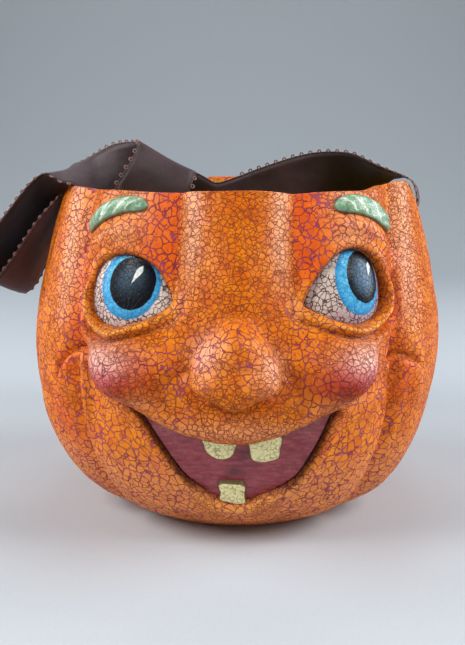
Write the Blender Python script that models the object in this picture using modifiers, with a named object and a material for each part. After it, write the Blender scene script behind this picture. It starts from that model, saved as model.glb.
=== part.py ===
"""Hollow pumpkin-head bowl with a ribbon handle, modelled in metres, +Z up.

Frame: origin at the centre of the flat base, face towards -Y, +X to the viewer's right.
Feature positions on the shell are given as (u, z) in millimetres: z is the height above the
base and u is the distance round the shell from the middle of the face, u = GIRTH * angle.
Everything is worked in millimetres and multiplied by MM when a vertex is placed.
"""

import math

import bmesh
import bpy
from mathutils import Matrix, Vector

# ---------------------------------------------------------------- driving dimensions (mm)
MM = 0.001
HEIGHT = 186.0            # base to rim
GIRTH = 115.0             # radius that turns an angle into the distance u
WALL = 6.0                # shell wall
BASE_R = 58.0             # flat base disc
RIB_DEPTH = 5.5           # how far the grooves lie below the crests
GAP = 0.35                # clearance kept between neighbouring pieces

# half profile of the shell, base edge to rim (radius, height)
PROFILE = [(58.0, 0.0), (86.5, 13.6), (104.0, 32.0), (115.7, 56.0), (119.9, 84.0), (118.4, 110.0),
           (112.8, 140.0), (105.4, 165.0), (97.0, 186.0)]

NOSE = (-1.5, 104.0)      # centre of the nose
NOSE_HALF_W, NOSE_UP, NOSE_DOWN, NOSE_OUT = 21.0, 25.0, 17.0, 20.0
CHEEKS = ((-55.0, 101.0), (53.0, 99.0))
LIP_LOW, LIP_CURVE = 62.3, 0.0056      # lower edge of the upper lip: z = LIP_LOW + LIP_CURVE * u^2

# mouth opening, left corner round the lower edge to the right corner
MOUTH_LOWER = [(-53.0, 77.8), (-42.2, 64.5), (-35.3, 54.0), (-28.3, 45.0), (-20.5, 36.4),
               (-10.6, 30.4), (-1.2, 28.0), (8.0, 28.4), (19.0, 32.0), (29.0, 38.8),
               (36.1, 47.3), (41.5, 56.4), (46.0, 66.8), (50.5, 76.5)]
# eye opening of the viewer's right eye; the left one mirrors it about u = 0
EYE = [(32.5, 131.6), (38.0, 141.0), (46.0, 149.6), (56.0, 155.4), (66.0, 156.8), (75.0, 152.4),
       (81.5, 143.5), (83.5, 133.0), (80.5, 124.6), (72.0, 119.4), (60.0, 118.0), (48.0, 121.2),
       (39.0, 126.0)]
EYE_CENTRE = (58.5, 137.0)
EYE_DOME_R = 36.0
BROW_LINE = [(92.0, 161.5), (84.0, 170.5), (73.0, 177.0), (62.0, 177.8), (54.0, 176.5)]
BROW_WIDTH, BROW_THICK = 10.5, 4.0

HOLE_ANGLE, HOLE_Z, HOLE_R = 96.0, 168.0, 7.0
RIBBON_W, RIBBON_T = 38.0, 1.0
HINGE_Z = 188.0           # the handle swings about the line between the two rim crossings
HANDLE_X = 80.0           # half length of the swinging span

# ---------------------------------------------------------------- scene
for old in list(bpy.data.objects):
    bpy.data.objects.remove(old, do_unlink=True)
scene = bpy.context.scene


def new_collection(name):
    made = bpy.data.collections.new(name)
    scene.collection.children.link(made)
    return made


PARTS = new_collection("pumpkin_figure")
CUTTERS = new_collection("cutters")


def material(name, colour, roughness, metallic=0.0):
    made = bpy.data.materials.new(name)
    made.use_nodes = True
    bsdf = made.node_tree.nodes["Principled BSDF"]
    bsdf.inputs["Base Color"].default_value = (*colour, 1.0)
    bsdf.inputs["Roughness"].default_value = roughness
    bsdf.inputs["Metallic"].default_value = metallic
    made.diffuse_color = (*colour, 1.0)
    return made


ORANGE = material("orange_crackle_glaze", (0.58, 0.13, 0.012), 0.35)
MAROON = material("maroon_gloss", (0.19, 0.045, 0.055), 0.2)
IVORY = material("ivory_paint", (0.46, 0.43, 0.2), 0.5)
EYE_WHITE = material("crackled_white", (0.6, 0.5, 0.44), 0.35)
GREEN = material("green_paint", (0.25, 0.42, 0.28), 0.4)
BROWN = material("brown_satin", (0.055, 0.034, 0.04), 0.5)

# ---------------------------------------------------------------- small maths


def smooth(edge0, edge1, x):
    t = min(1.0, max(0.0, (x - edge0) / (edge1 - edge0)))
    return t * t * (3.0 - 2.0 * t)


def bell(x, width):
    return math.exp(-(x / width) ** 2)


def spline(points, t):
    """Catmull-Rom through the points, t from 0 to 1."""
    n = len(points) - 1
    x = min(max(t, 0.0), 1.0) * n
    i = min(int(x), n - 1)
    f = x - i
    p0, p1 = points[max(i - 1, 0)], points[i]
    p2, p3 = points[i + 1], points[min(i + 2, n)]
    return tuple(0.5 * (2 * b + (c - a) * f + (2 * a - 5 * b + 4 * c - d) * f * f
                        + (3 * b - a - 3 * c + d) * f ** 3)
                 for a, b, c, d in zip(p0, p1, p2, p3))


def profile_radius(z):
    """Crest radius of the shell at height z, by bisection on the profile spline."""
    lo, hi = 0.0, 1.0
    for _ in range(26):
        mid = (lo + hi) / 2
        if spline(PROFILE, mid)[1] < z:
            lo = mid
        else:
            hi = mid
    return spline(PROFILE, lo)[0]


def groove_angles(z):
    """Angles in degrees of the six grooves on one side of the face, front to back."""
    second = 42.0 + 11.0 * smooth(140, 186, z) + 5.0 * bell(z - 122, 20) - 2.0 * smooth(50, 20, z)
    return [15.3, second, 76.0, 106.0, 136.0, 165.0]


def rib_drop(angle, z):
    """How far the surface lies below the crest radius, in mm."""
    a = abs(angle)
    g = groove_angles(z)
    edges = [-g[0]] + g + [360.0 - g[-1]]
    i = next(k for k in range(len(edges) - 1) if a <= edges[k + 1] + 1e-9)
    s = (a - edges[i]) / (edges[i + 1] - edges[i])
    drop = abs(2 * s - 1) ** 2.6
    if a < g[1]:     # the face smooths the first groove away between the brow and the chin
        wide = (a / g[1]) ** 7
        keep = max(smooth(122, 146, z), smooth(26, 12, z))
        drop = drop * keep + wide * (1 - keep)
    return RIB_DEPTH * drop * smooth(1, 20, z)


def polygon_distance(outline, u, z):
    """Signed distance from (u, z) to a closed outline, negative inside."""
    best, inside = 1e9, False
    for i in range(len(outline)):
        (x1, y1), (x2, y2) = outline[i - 1], outline[i]
        dx, dy = x2 - x1, y2 - y1
        t = min(1.0, max(0.0, ((u - x1) * dx + (z - y1) * dy) / (dx * dx + dy * dy + 1e-12)))
        best = min(best, math.hypot(u - x1 - t * dx, z - y1 - t * dy))
        if (y1 > z) != (y2 > z) and u < x1 + (z - y1) * dx / dy:
            inside = not inside
    return -best if inside else best


def closed_spline(points, count):
    ring = points[-1:] + points + points[:2]
    out = []
    n = len(points)
    for k in range(count):
        x = k / count * n
        i, f = int(x), x - int(x)
        quad = ring[i:i + 4]
        out.append(tuple(0.5 * (2 * b + (c - a) * f + (2 * a - 5 * b + 4 * c - d) * f * f
                                + (3 * b - a - 3 * c + d) * f ** 3) for a, b, c, d in zip(*quad)))
    return out


def lip_edge(u):
    return LIP_LOW + LIP_CURVE * u * u


EYE_R = closed_spline(EYE, 36)
EYE_L = [(-u, z) for u, z in EYE_R]
MOUTH = ([spline(MOUTH_LOWER, k / 27) for k in range(28)]
         + [(50.5 - 103.5 * k / 22, lip_edge(50.5 - 103.5 * k / 22)) for k in range(1, 22)])


def relief(u, z):
    """Sculpted height of the face above the ribbed pumpkin, in mm."""
    a = abs(u)
    h = 0.0
    if a < 125 and 8 < z < 175:
        # upper lip and cheeks, cut off by the smile edge
        above = z - lip_edge(u)
        edge = smooth(-5.0, 2.0, above)
        h += 7.0 * math.exp(-((above - 8.0) / 13.0) ** 2) * edge * smooth(88, 66, a)
        for cu, cz in CHEEKS:
            r2 = ((u - cu) / 22.0) ** 2 + ((z - cz) / 15.0) ** 2
            h += 8.5 * math.exp(-r2 ** 1.3) * edge
        # nose
        du, dz = u - NOSE[0], z - NOSE[1]
        half_w = NOSE_HALF_W * (1.0 - 0.30 * smooth(0, 22, dz) - 0.42 * smooth(2, 17, -dz))
        e = math.hypot(du / half_w, dz / (NOSE_UP if dz > 0 else NOSE_DOWN))
        if e < 1:
            h += NOSE_OUT * (1 - e * e) ** 1.05
        h += 3.0 * bell(du, 16) * smooth(100, 150, z) * smooth(182, 165, z)
        # rolled lower eyelid and the crease under it
        d = polygon_distance(EYE_R, a, z)
        if 0 < d < 16 and z < 139:
            under = smooth(138, 126, z)
            h += under * (3.4 * bell(d - 4.2, 2.9) - 1.8 * bell(d - 9.8, 1.8))
        if 0 < d < 9 and z >= 128:
            h += 1.6 * bell(d - 3.5, 2.6) * smooth(128, 140, z)
        # lower lip bead
        if z < lip_edge(u) - 1:
            m = polygon_distance(MOUTH, u, z)
            if 0 < m < 9:
                h += 1.8 * bell(m - 2.5, 2.4)
        # rounded top of each smile fold, on the outer ribs
        top = 102.0 - 0.042 * (a - 95.0) ** 2
        window = smooth(84, 90, a) * smooth(122, 108, a)
        h += window * (3.4 * smooth(2.5, -2.5, z - top) * smooth(55, 88, z) - 1.8 * bell(z - top - 3.4, 2.6))
    return h


def base_point(angle, z, depth=0.0):
    """Point and outward normal of the plain ribbed pumpkin, depth mm inside its surface."""
    rad = math.radians(angle)
    r = profile_radius(z) - rib_drop(angle, z)
    slope = (profile_radius(min(z + 0.8, HEIGHT)) - profile_radius(max(z - 0.8, 0.05))) / (
        min(z + 0.8, HEIGHT) - max(z - 0.8, 0.05))
    n = Vector((math.sin(rad), -math.cos(rad), -slope)).normalized()
    p = Vector((r * math.sin(rad), -r * math.cos(rad), z))
    return p - n * depth, n


def on_shell(u, z, out=0.0, sculpted=True):
    """Point on the shell at (u, z), moved out mm along the normal, in metres."""
    p, n = base_point(math.degrees(u / GIRTH), z)
    return (p + n * (out + (relief(u, z) if sculpted else 0.0))) * MM


# ---------------------------------------------------------------- object helpers


def add_object(name, bm, mat, collection=PARTS):
    mesh = bpy.data.meshes.new(name)
    bmesh.ops.recalc_face_normals(bm, faces=bm.faces)
    if not any(e.is_boundary for e in bm.edges) and bm.calc_volume(signed=True) < 0:
        bmesh.ops.reverse_faces(bm, faces=bm.faces)
    bm.to_mesh(mesh)
    bm.free()
    if mat:
        mesh.materials.append(mat)
    made = bpy.data.objects.new(name, mesh)
    collection.objects.link(made)
    mesh.shade_smooth()
    mesh.set_sharp_from_angle(angle=math.radians(40))
    return made


def hide_cutter(obj):
    obj.hide_render = True
    obj.display_type = "WIRE"
    return obj


def solidify(obj, thickness, offset):
    mod = obj.modifiers.new("wall", "SOLIDIFY")
    mod.thickness = thickness * MM
    mod.offset = offset
    mod.use_rim = True
    return mod


def boolean(obj, other, operation="DIFFERENCE"):
    mod = obj.modifiers.new(other.name, "BOOLEAN")
    mod.object = other
    mod.operation = operation
    mod.solver = "EXACT"
    return mod


def grown(outline, by):
    """Outline moved out by a distance, along the averaged edge normals."""
    out, n = [], len(outline)
    area = sum(outline[i - 1][0] * outline[i][1] - outline[i][0] * outline[i - 1][1] for i in range(n))
    turn = 1.0 if area > 0 else -1.0
    for i in range(n):
        (x0, y0), (x1, y1), (x2, y2) = outline[i - 1], outline[i], outline[(i + 1) % n]
        t = Vector((x2 - x0, y2 - y0)).normalized()
        out.append((x1 + turn * t.y * by, y1 - turn * t.x * by))
    return out


def column_of(co, count):
    """Which of the count columns of a turned primitive a vertex lies on; they start at 0 or half a step."""
    return math.floor(math.atan2(co.y, co.x) / (2 * math.pi) * count + 0.25) % count


def plug(name, outline, centre, inner, outer):
    """Cylinder primitive carried to an outline on the shell, its two flat ends inner and outer mm
    off the surface at the centre."""
    p, out = base_point(math.degrees(centre[0] / GIRTH), centre[1])
    side = Vector((0, 0, 1)).cross(out).normalized()
    up = out.cross(side)
    bm = bmesh.new()
    n = len(outline)
    bmesh.ops.create_cone(bm, cap_ends=True, cap_tris=False, segments=n, radius1=1, radius2=1, depth=2)
    for v in bm.verts:
        k = column_of(v.co, n)
        d = on_shell(*outline[k], sculpted=False) / MM - p
        v.co = (p + side * d.dot(side) + up * d.dot(up) + out * (outer if v.co.z > 0 else inner)) * MM
    bmesh.ops.triangulate(bm, faces=[f for f in bm.faces if len(f.verts) > 4])
    return hide_cutter(add_object(name, bm, None, CUTTERS))


def mapped_grid(name, columns, rows, place, mat, collection=PARTS):
    """Grid primitive with every vertex carried to place(s, t), s and t from 0 to 1."""
    bm = bmesh.new()
    bmesh.ops.create_grid(bm, x_segments=columns, y_segments=rows, size=0.5)
    for v in bm.verts:
        v.co = place(v.co.x + 0.5, v.co.y + 0.5)
    return add_object(name, bm, mat, collection)


# ---------------------------------------------------------------- pumpkin shell
STEPS = (18, 18, 18, 14, 5, 5, 5, 5, 5, 5, 5, 14)     # columns in each rib, from the left face rib on
OUTER_RINGS, INNER_RINGS = 90, 18
KEEP_SHARE = 0.26                     # share of the faces kept where the surface is nearly flat


def column_angle(j, z):
    """Angle of vertex column j, so that a column runs down every groove and crest."""
    g = groove_angles(z)
    edges = [-g[1], -g[0], g[0], g[1]] + g[2:] + [360.0 - x for x in reversed(g[2:])] + [360.0 - g[1]]
    for k in range(12):
        steps = STEPS[k]
        if j < steps:
            return edges[k] + (edges[k + 1] - edges[k]) * j / steps
        j -= steps
    return edges[0]


def sphere_rings(bm, columns, rings, spare, place):
    """Sphere primitive whose vertices are carried to place(ring, column angle index); rings above are removed."""
    made = bmesh.ops.create_uvsphere(bm, u_segments=columns, v_segments=rings + spare, radius=1)["verts"]
    above = []
    for v in made:
        ring = round((1 - math.acos(max(-1, min(1, v.co.z))) / math.pi) * (rings + spare))
        if ring > rings:
            above.append(v)
        else:
            v.co = place(ring, column_of(v.co, columns))
    bmesh.ops.delete(bm, geom=above, context="VERTS")


def shell_body():
    """Outer sculpted surface and inner surface, each from a sphere, joined by a rounded rim."""
    columns = sum(STEPS)

    def surface_point(j, z, out, follow):
        angle = column_angle(j, z)
        u = GIRTH * math.radians(angle if angle <= 180 else angle - 360)
        return on_shell(u, z, out + follow * relief(u, z), sculpted=False)

    def disc_point(j, share, height):
        rad = math.radians(column_angle(j, 2.0))
        r = BASE_R * share
        return Vector((r * math.sin(rad), -r * math.cos(rad), height)) * MM

    def outer(ring, j):
        if ring <= 2:
            return disc_point(j, ring / 2, 0.0)
        if ring == OUTER_RINGS:        # top of the rim
            return surface_point(j, HEIGHT, -WALL / 2, 0) + Vector((0, 0, 1.8 * MM))
        return surface_point(j, spline(PROFILE, (ring - 2) / (OUTER_RINGS - 3))[1], 0.0, 1.0)

    def inner(ring, j):
        if ring <= 1:
            return disc_point(j, ring * 0.86, WALL)
        z = spline(PROFILE, 0.13 + 0.87 * (ring - 2) / (INNER_RINGS - 2))[1]
        return surface_point(j, z, -WALL, 0.45)

    bm = bmesh.new()
    sphere_rings(bm, columns, OUTER_RINGS, 3, outer)
    sphere_rings(bm, columns, INNER_RINGS, 3, inner)
    bmesh.ops.bridge_loops(bm, edges=[e for e in bm.edges if e.is_boundary])
    body = add_object("pumpkin_shell", bm, ORANGE)
    thin = body.modifiers.new("thin_out", "DECIMATE")
    thin.decimate_type = "COLLAPSE"
    thin.ratio = KEEP_SHARE
    thin.use_collapse_triangulate = True
    return body


shell = shell_body()
boolean(shell, plug("cut_mouth", MOUTH, (0.0, 52.0), -36, 36))
boolean(shell, plug("cut_eye_left", EYE_L, (-EYE_CENTRE[0], EYE_CENTRE[1]), -18, 20))
boolean(shell, plug("cut_eye_right", EYE_R, EYE_CENTRE, -18, 20))


def hole_frame(side):
    rad = math.radians(HOLE_ANGLE) * side
    p, n = base_point(HOLE_ANGLE * side, HOLE_Z)
    return p, n


for side, label in ((-1, "left"), (1, "right")):
    p, n = hole_frame(side)
    bm = bmesh.new()
    bmesh.ops.create_cone(bm, cap_ends=True, segments=20, radius1=HOLE_R * MM, radius2=HOLE_R * MM, depth=40 * MM)
    cutter = hide_cutter(add_object("cut_hole_" + label, bm, None, CUTTERS))
    cutter.rotation_mode = "QUATERNION"
    cutter.rotation_quaternion = n.to_track_quat("Z", "Y")
    cutter.location = p * MM
    boolean(shell, cutter)

# ---------------------------------------------------------------- mouth panel and teeth
PANEL_DEPTH, PANEL_T = WALL + 1.3, 3.0


def panel_point(s, t):
    u = -57.0 + 112.0 * s
    low = 24.0 + 50.0 * (abs(u + 1.0) / 57.0) ** 2.2
    high = lip_edge(u) + 3.0
    z = low + (high - low) * t
    return on_shell(u, z, -PANEL_DEPTH, sculpted=False)


panel = mapped_grid("mouth_panel", 14, 5, panel_point, MAROON)
if panel.data.polygons[0].normal.y > 0:
    panel.data.flip_normals()
solidify(panel, PANEL_T, -1.0)


def tooth(name, u, z, width, height, back, front, lean=0.0):
    """Ball primitive squared off into a tooth that stands on the mouth panel."""
    bm = bmesh.new()
    bmesh.ops.create_cube(bm, size=2.0)
    bmesh.ops.subdivide_edges(bm, edges=bm.edges, cuts=3, use_grid_fill=True)
    for v in bm.verts:
        x, y, h = v.co
        pull = 1.0 - 0.10 * (x * y) ** 2
        uu = u + width / 2 * x * pull + lean * y
        zz = z + height / 2 * y * pull
        crown = 1.0 - 0.35 * (max(abs(x), abs(y)) ** 4)
        out = -back if h < 0 else -back + (back - front) * crown * (h + 1) / 2
        v.co = on_shell(uu, zz, out, sculpted=False)
    return add_object(name, bm, IVORY)


tooth("upper_left_tooth", -8.6, 58.8, 16.0, 9.6, PANEL_DEPTH - GAP, 4.0)
tooth("upper_right_tooth", 15.4, 59.0, 15.6, 10.6, PANEL_DEPTH - GAP, 4.0)
tooth("lower_tooth", -1.6, 34.8, 13.6, 11.6, PANEL_DEPTH - GAP, 1.6)

# ---------------------------------------------------------------- eyeballs
for side, label, outline in ((-1, "left", EYE_L), (1, "right", EYE_R)):
    p, n = base_point(math.degrees(side * EYE_CENTRE[0] / GIRTH), EYE_CENTRE[1])
    bm = bmesh.new()
    bmesh.ops.create_uvsphere(bm, u_segments=32, v_segments=18, radius=EYE_DOME_R * MM)
    ball = add_object(label + "_eyeball", bm, EYE_WHITE)
    ball.rotation_mode = "QUATERNION"
    ball.rotation_quaternion = n.to_track_quat("Z", "Y")
    ball.location = (p - n * (EYE_DOME_R + 0.8)) * MM
    keep = plug("keep_eye_" + label, grown(outline, -GAP), (side * EYE_CENTRE[0], EYE_CENTRE[1]), -9.5, 14)
    boolean(ball, keep, "INTERSECT")

# ---------------------------------------------------------------- eyebrows
for side, label in ((-1, "left"), (1, "right")):
    bm = bmesh.new()
    bmesh.ops.create_uvsphere(bm, u_segments=12, v_segments=14, radius=1)
    for v in bm.verts:
        x, y, up = v.co.z, v.co.x, v.co.y     # the sphere's poles become the brow's two ends
        t = (x + 1) / 2
        (u0, z0), (u1, z1) = spline(BROW_LINE, t - 0.02 if t > 0.5 else t), spline(BROW_LINE, t if t > 0.5 else t + 0.02)
        across = Vector((-(z1 - z0), u1 - u0)).normalized()
        width = BROW_WIDTH / 2 * (0.30 + 0.70 * smooth(0.0, 0.65, t))
        u, z = spline(BROW_LINE, t)
        u, z = u + across.x * y * width, z + across.y * y * width
        lift = 1.6 + BROW_THICK * max(up, 0.0) * (0.5 + 0.5 * smooth(0, 0.5, t))
        v.co = on_shell(side * u, z, lift)
    add_object(label + "_eyebrow", bm, GREEN)

# ---------------------------------------------------------------- ribbon
# Each strip is a grid carried between two edge curves, near edge then far edge, and given its thickness.


def strip(name, near, far, steps, across=3):
    def place(s, t):
        a, b = Vector(spline(near, s)), Vector(spline(far, s))
        return a.lerp(b, t) * MM
    made = mapped_grid(name, steps, across, place, BROWN)
    solidify(made, RIBBON_T, 0.0)
    return made


# span across the bowl: horizontal at its two ends, standing on edge between them
HANDLE_TOP = [(-80, -17, 189), (-70, -9, 199), (-56, -4, 206), (-36, -3, 195), (-12, -2, 183.5),
              (14, -1, 190), (40, 0, 200), (58, -4, 203), (72, -12, 196), (80, -17, 190)]
HANDLE_LOW = [(-80, 19, 189), (-71, 17, 178), (-58, 9, 171), (-37, 6, 158), (-12, 5, 146),
              (14, 6, 153), (41, 8, 163), (60, 12, 170), (72, 18, 180), (80, 19, 188)]
strip("ribbon_handle", HANDLE_TOP, HANDLE_LOW, 34)

RIGHT_NEAR = [(81, -17, 190.5), (88, -18, 192.5), (96, -18, 191.5), (101.5, -17, 186), (103.5, -14, 179), (104.5, -3, 172.5)]
RIGHT_FAR = [(81, 19, 189.5), (88, 19, 192.5), (96, 20, 192), (101.5, 21, 186.5), (103.5, 22, 179.5), (105, 19, 172.5)]
strip("ribbon_right_end", RIGHT_NEAR, RIGHT_FAR, 12)

LEFT_NEAR = [(-81, -17, 190.5), (-90, -18, 192.5), (-99, -19, 191.5), (-109, -20, 192.5), (-118, -20, 192), (-128, -21, 184),
             (-137, -22, 170), (-146, -20, 150), (-148, -18, 134), (-141, -15, 131), (-130, -14, 143),
             (-119, -14, 158), (-111, -12, 170), (-106.5, -5, 174)]
LEFT_FAR = [(-81, 19, 189.5), (-90, 20, 193), (-99, 20, 192.5), (-108, 19, 193), (-117, 18, 190), (-127, 17, 180),
            (-133, 17, 163), (-137, 15, 142), (-136, 14, 122), (-128, 15, 116), (-121.5, 20, 128),
            (-115, 22, 144), (-110, 20, 158), (-107, 12, 168)]
strip("ribbon_left_loop", LEFT_NEAR, LEFT_FAR, 34)

# knots inside the shell, each a turned knob with a neck through its hole
KNOT = [(0.0, -22.0), (6.5, -21.5), (9.8, -18.0), (10.2, -15.0), (8.6, -11.8), (5.0, -10.6), (5.0, 0.0), (4.6, 1.0), (0.0, 1.0)]
for side, label in ((-1, "left"), (1, "right")):
    p, n = hole_frame(side)
    bm = bmesh.new()
    last = None
    for r, h in reversed(KNOT):        # the profile runs down its outer side, so the turned shape faces out
        v = bm.verts.new((r * MM, 0, h * MM))
        if last:
            bm.edges.new((last, v))
        last = v
    mesh = bpy.data.meshes.new("ribbon_" + label + "_knot")
    bm.to_mesh(mesh)
    bm.free()
    mesh.materials.append(BROWN)
    knot = bpy.data.objects.new("ribbon_" + label + "_knot", mesh)
    PARTS.objects.link(knot)
    turn = knot.modifiers.new("turn", "SCREW")
    turn.axis = "Z"
    turn.steps = turn.render_steps = 14
    turn.use_merge_vertices = True
    turn.merge_threshold = 0.00005
    turn.use_smooth_shade = True
    knot.rotation_mode = "QUATERNION"
    knot.rotation_quaternion = n.to_track_quat("Z", "Y")
    knot.location = p * MM

# ---------------------------------------------------------------- handle hinge
hinge = bpy.data.objects.new("handle_hinge", None)
hinge.location = (0, 0, HINGE_Z * MM)
PARTS.objects.link(hinge)
for name in ("ribbon_handle",):
    obj = bpy.data.objects[name]
    obj.parent = hinge
    obj.matrix_parent_inverse = Matrix.Translation(-hinge.location)
bpy.context.view_layer.update()
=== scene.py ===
"""Looks for a crackle-painted ceramic pumpkin bucket with a picot-edged ribbon handle.

The bucket stands on z = 0 round the z axis and its face looks towards -Y; left is -X, right is +X.
Lengths are in millimetres until mesh_object scales them. A place on the wall is (arc, z): z above
the base, arc round the wall from the middle of the face towards +X, GIRTH_RADIUS * angle.
"""

import math

import bmesh
import bpy
import numpy as np
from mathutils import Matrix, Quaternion, Vector


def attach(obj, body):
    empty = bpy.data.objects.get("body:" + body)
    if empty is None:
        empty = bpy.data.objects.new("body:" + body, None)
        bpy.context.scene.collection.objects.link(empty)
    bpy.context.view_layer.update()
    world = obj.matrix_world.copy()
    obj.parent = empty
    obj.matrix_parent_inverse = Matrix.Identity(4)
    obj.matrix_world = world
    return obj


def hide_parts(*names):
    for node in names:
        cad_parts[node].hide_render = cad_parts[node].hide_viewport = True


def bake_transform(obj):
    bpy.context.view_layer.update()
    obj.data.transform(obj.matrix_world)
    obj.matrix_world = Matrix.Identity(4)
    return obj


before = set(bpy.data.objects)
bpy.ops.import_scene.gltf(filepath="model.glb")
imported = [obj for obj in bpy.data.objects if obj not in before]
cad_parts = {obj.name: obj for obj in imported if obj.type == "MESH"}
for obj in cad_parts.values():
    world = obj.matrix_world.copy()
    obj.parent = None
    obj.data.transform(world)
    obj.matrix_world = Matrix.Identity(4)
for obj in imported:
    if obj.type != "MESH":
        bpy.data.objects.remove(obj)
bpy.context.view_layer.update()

MM_TO_M = 0.001
GIRTH_RADIUS = 115.0  # radius at which arc lengths are measured
ARC_PER_DEGREE = math.radians(1) * GIRTH_RADIUS
HEIGHT = 186.0
WALL = 6.0
RIB_DEPTH = 5.5
# outer wall as (radius, z)
PROFILE = [(66.0, 0.0), (90.0, 13.6), (105.6, 32.0), (116.6, 56.0), (120.6, 84.0), (119.2, 110.0),
           (113.0, 140.0), (106.4, 165.0), (99.2, 186.0)]

# --------------------------------------------------------------------------- maths


def smooth(start, end, x):
    """Smoothstep from 0 at start to 1 at end; start may lie above end."""
    share = np.clip((np.asarray(x, float) - start) / (end - start), 0, 1)
    return share * share * (3 - 2 * share)


def bell(x, width):
    return np.exp(-(np.asarray(x, float) / width) ** 2)


def spot(arc, z, middle_arc, middle_z, half_arc, half_z, power=1):
    """Oval bell, 1 in its middle."""
    square = ((arc - middle_arc) / half_arc) ** 2 + ((z - middle_z) / half_z) ** 2
    return np.exp(-square ** power)


def spots(arc, z, ovals, power=1):
    """Highest of several ovals, each (arc, z, half arc, half z)."""
    return np.maximum.reduce([spot(arc, z, *oval, power=power) for oval in ovals])


def dome(depth, reach):
    """Quarter-round rise from 0 at an edge to 1 at reach inside it."""
    share = np.clip(depth / reach, 0, 1)
    return np.sqrt(np.clip(1 - (1 - share) ** 2, 0, 1))


def lookup(table, x):
    """Value at x of a table of (x, value) rows."""
    return np.interp(x, *np.transpose(table))


def unit(vectors):
    return vectors / np.maximum(np.linalg.norm(vectors, axis=-1, keepdims=True), 1e-9)


def catmull(points, count, closed=False):
    """Catmull-Rom curve through the points, sampled count times."""
    points = np.array(points, float)
    total = len(points)
    stations = np.arange(count) / count * total if closed else np.linspace(0, total - 1, count)
    whole = np.minimum(stations.astype(int), total - 1 if closed else total - 2)
    picks = [whole + k for k in (-1, 0, 1, 2)]
    picks = [i % total if closed else np.clip(i, 0, total - 1) for i in picks]
    before, here, after, beyond = (points[i] for i in picks)
    part = (stations - whole)[:, None]
    return 0.5 * (2 * here + (after - before) * part
                  + (2 * before - 5 * here + 4 * after - beyond) * part ** 2
                  + (3 * here - before - 3 * after + beyond) * part ** 3)


def running_length(points):
    steps = np.linalg.norm(np.diff(points, axis=0), axis=1)
    return np.concatenate([[0], np.cumsum(steps)])


def resample(points, length, at):
    """Points read at the running lengths in at."""
    return np.stack([np.interp(at, length, column) for column in points.T], axis=1)


def even(points, count, closed=False):
    """Catmull-Rom curve with its samples evenly spaced by length."""
    dense = catmull(points, 40 * len(points), closed)
    if closed:
        dense = np.vstack([dense, dense[:1]])
    length = running_length(dense)
    return resample(dense, length, np.linspace(0, length[-1], count, endpoint=not closed))


def distance(outline, arc, z, reach=25.0):
    """Signed distance to a closed outline, negative inside; far places read reach."""
    out = np.full(arc.shape, reach)
    low, high = outline.min(0) - reach, outline.max(0) + reach
    near = (arc > low[0]) & (arc < high[0]) & (z > low[1]) & (z < high[1])
    arc, z = arc[near], z[near]
    best = np.full(arc.shape, 1e9)
    inside = np.zeros(arc.shape, bool)
    for (start_x, start_z), (end_x, end_z) in zip(outline, np.roll(outline, -1, axis=0)):
        run, rise = end_x - start_x, end_z - start_z
        along = (arc - start_x) * run + (z - start_z) * rise
        share = np.clip(along / (run * run + rise * rise + 1e-12), 0, 1)
        best = np.minimum(best, np.hypot(arc - start_x - share * run, z - start_z - share * rise))
        if start_z != end_z:
            left_of = arc < start_x + (z - start_z) * run / rise
            inside ^= ((start_z > z) != (end_z > z)) & left_of
    out[near] = np.minimum(np.where(inside, -best, best), reach)
    return out


def waves(x, y, z=0.0, *, scale, seed):
    """Smooth repeatable lumps from a few sines, about -1 to 1."""
    total = 0.0
    for k in range(5):
        draws = [math.sin(seed * 12.9 + k * 78.2 + j * 37.7) * 43758.5 % 1 for j in range(4)]
        heading = np.array(draws[:3]) - 0.5
        heading = heading / np.linalg.norm(heading) * (2 * math.pi / scale) * (0.7 + 0.6 * draws[1])
        total = total + np.sin(x * heading[0] + y * heading[1] + z * heading[2] + draws[3] * 6.28)
    return total / 3.2


PROFILE_CURVE = catmull(PROFILE, 3000)
PROFILE_RADIUS, PROFILE_Z = PROFILE_CURVE.T
PROFILE_SLOPE = np.gradient(PROFILE_RADIUS, PROFILE_Z)


def wall(angle, z):
    """Points and outward normals of the plain ribbed wall; angle in degrees."""
    turn = np.radians(angle)
    radius = np.interp(z, PROFILE_Z, PROFILE_RADIUS) - rib_drop(angle, z)
    slope = np.interp(np.clip(z, 0.6, HEIGHT), PROFILE_Z, PROFILE_SLOPE)
    normals = unit(np.stack([np.sin(turn), -np.cos(turn), -slope], axis=-1))
    return np.stack([radius * np.sin(turn), -radius * np.cos(turn), z], axis=-1), normals


def on_wall(arc, z, out):
    """Points out mm off the plain wall at (arc, z)."""
    points, normals = wall(np.degrees(arc / GIRTH_RADIUS), z)
    return points + normals * np.broadcast_to(out, arc.shape)[..., None]


# --------------------------------------------------------------------------- ribs
# creases beside the middle rib and beside the face: (z, degrees off the middle), left then right
FIRST_CREASE = (
    [(0, 18), (60, 17), (110, 16.4), (150, 17.0), (162, 17.0), (174, 17.4), (186, 18.3)],
    [(0, 17), (60, 15.5), (110, 14.6), (150, 14.9), (162, 14.7), (174, 15.2), (186, 16.1)])
SECOND_CREASE = (
    [(0, 45.5), (21, 46.0), (41, 46.2), (54, 46.0), (69, 45.0), (80, 44.6), (90, 44.6),
     (106, 45.2), (119, 45.9), (134, 46.9), (154, 48.4), (172, 52.0), (184, 55.0), (190, 55.5)],
    [(0, 44.5), (29, 44.3), (42, 43.2), (55, 43.0), (67, 42.4), (78, 41.8), (89, 41.5),
     (114, 43.4), (134, 45.4), (159, 48.2), (172, 51.5), (184, 55), (190, 56)])
BACK_CREASES = (76.0, 106.0, 136.0, 165.0)  # degrees off the middle, both sides


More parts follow.
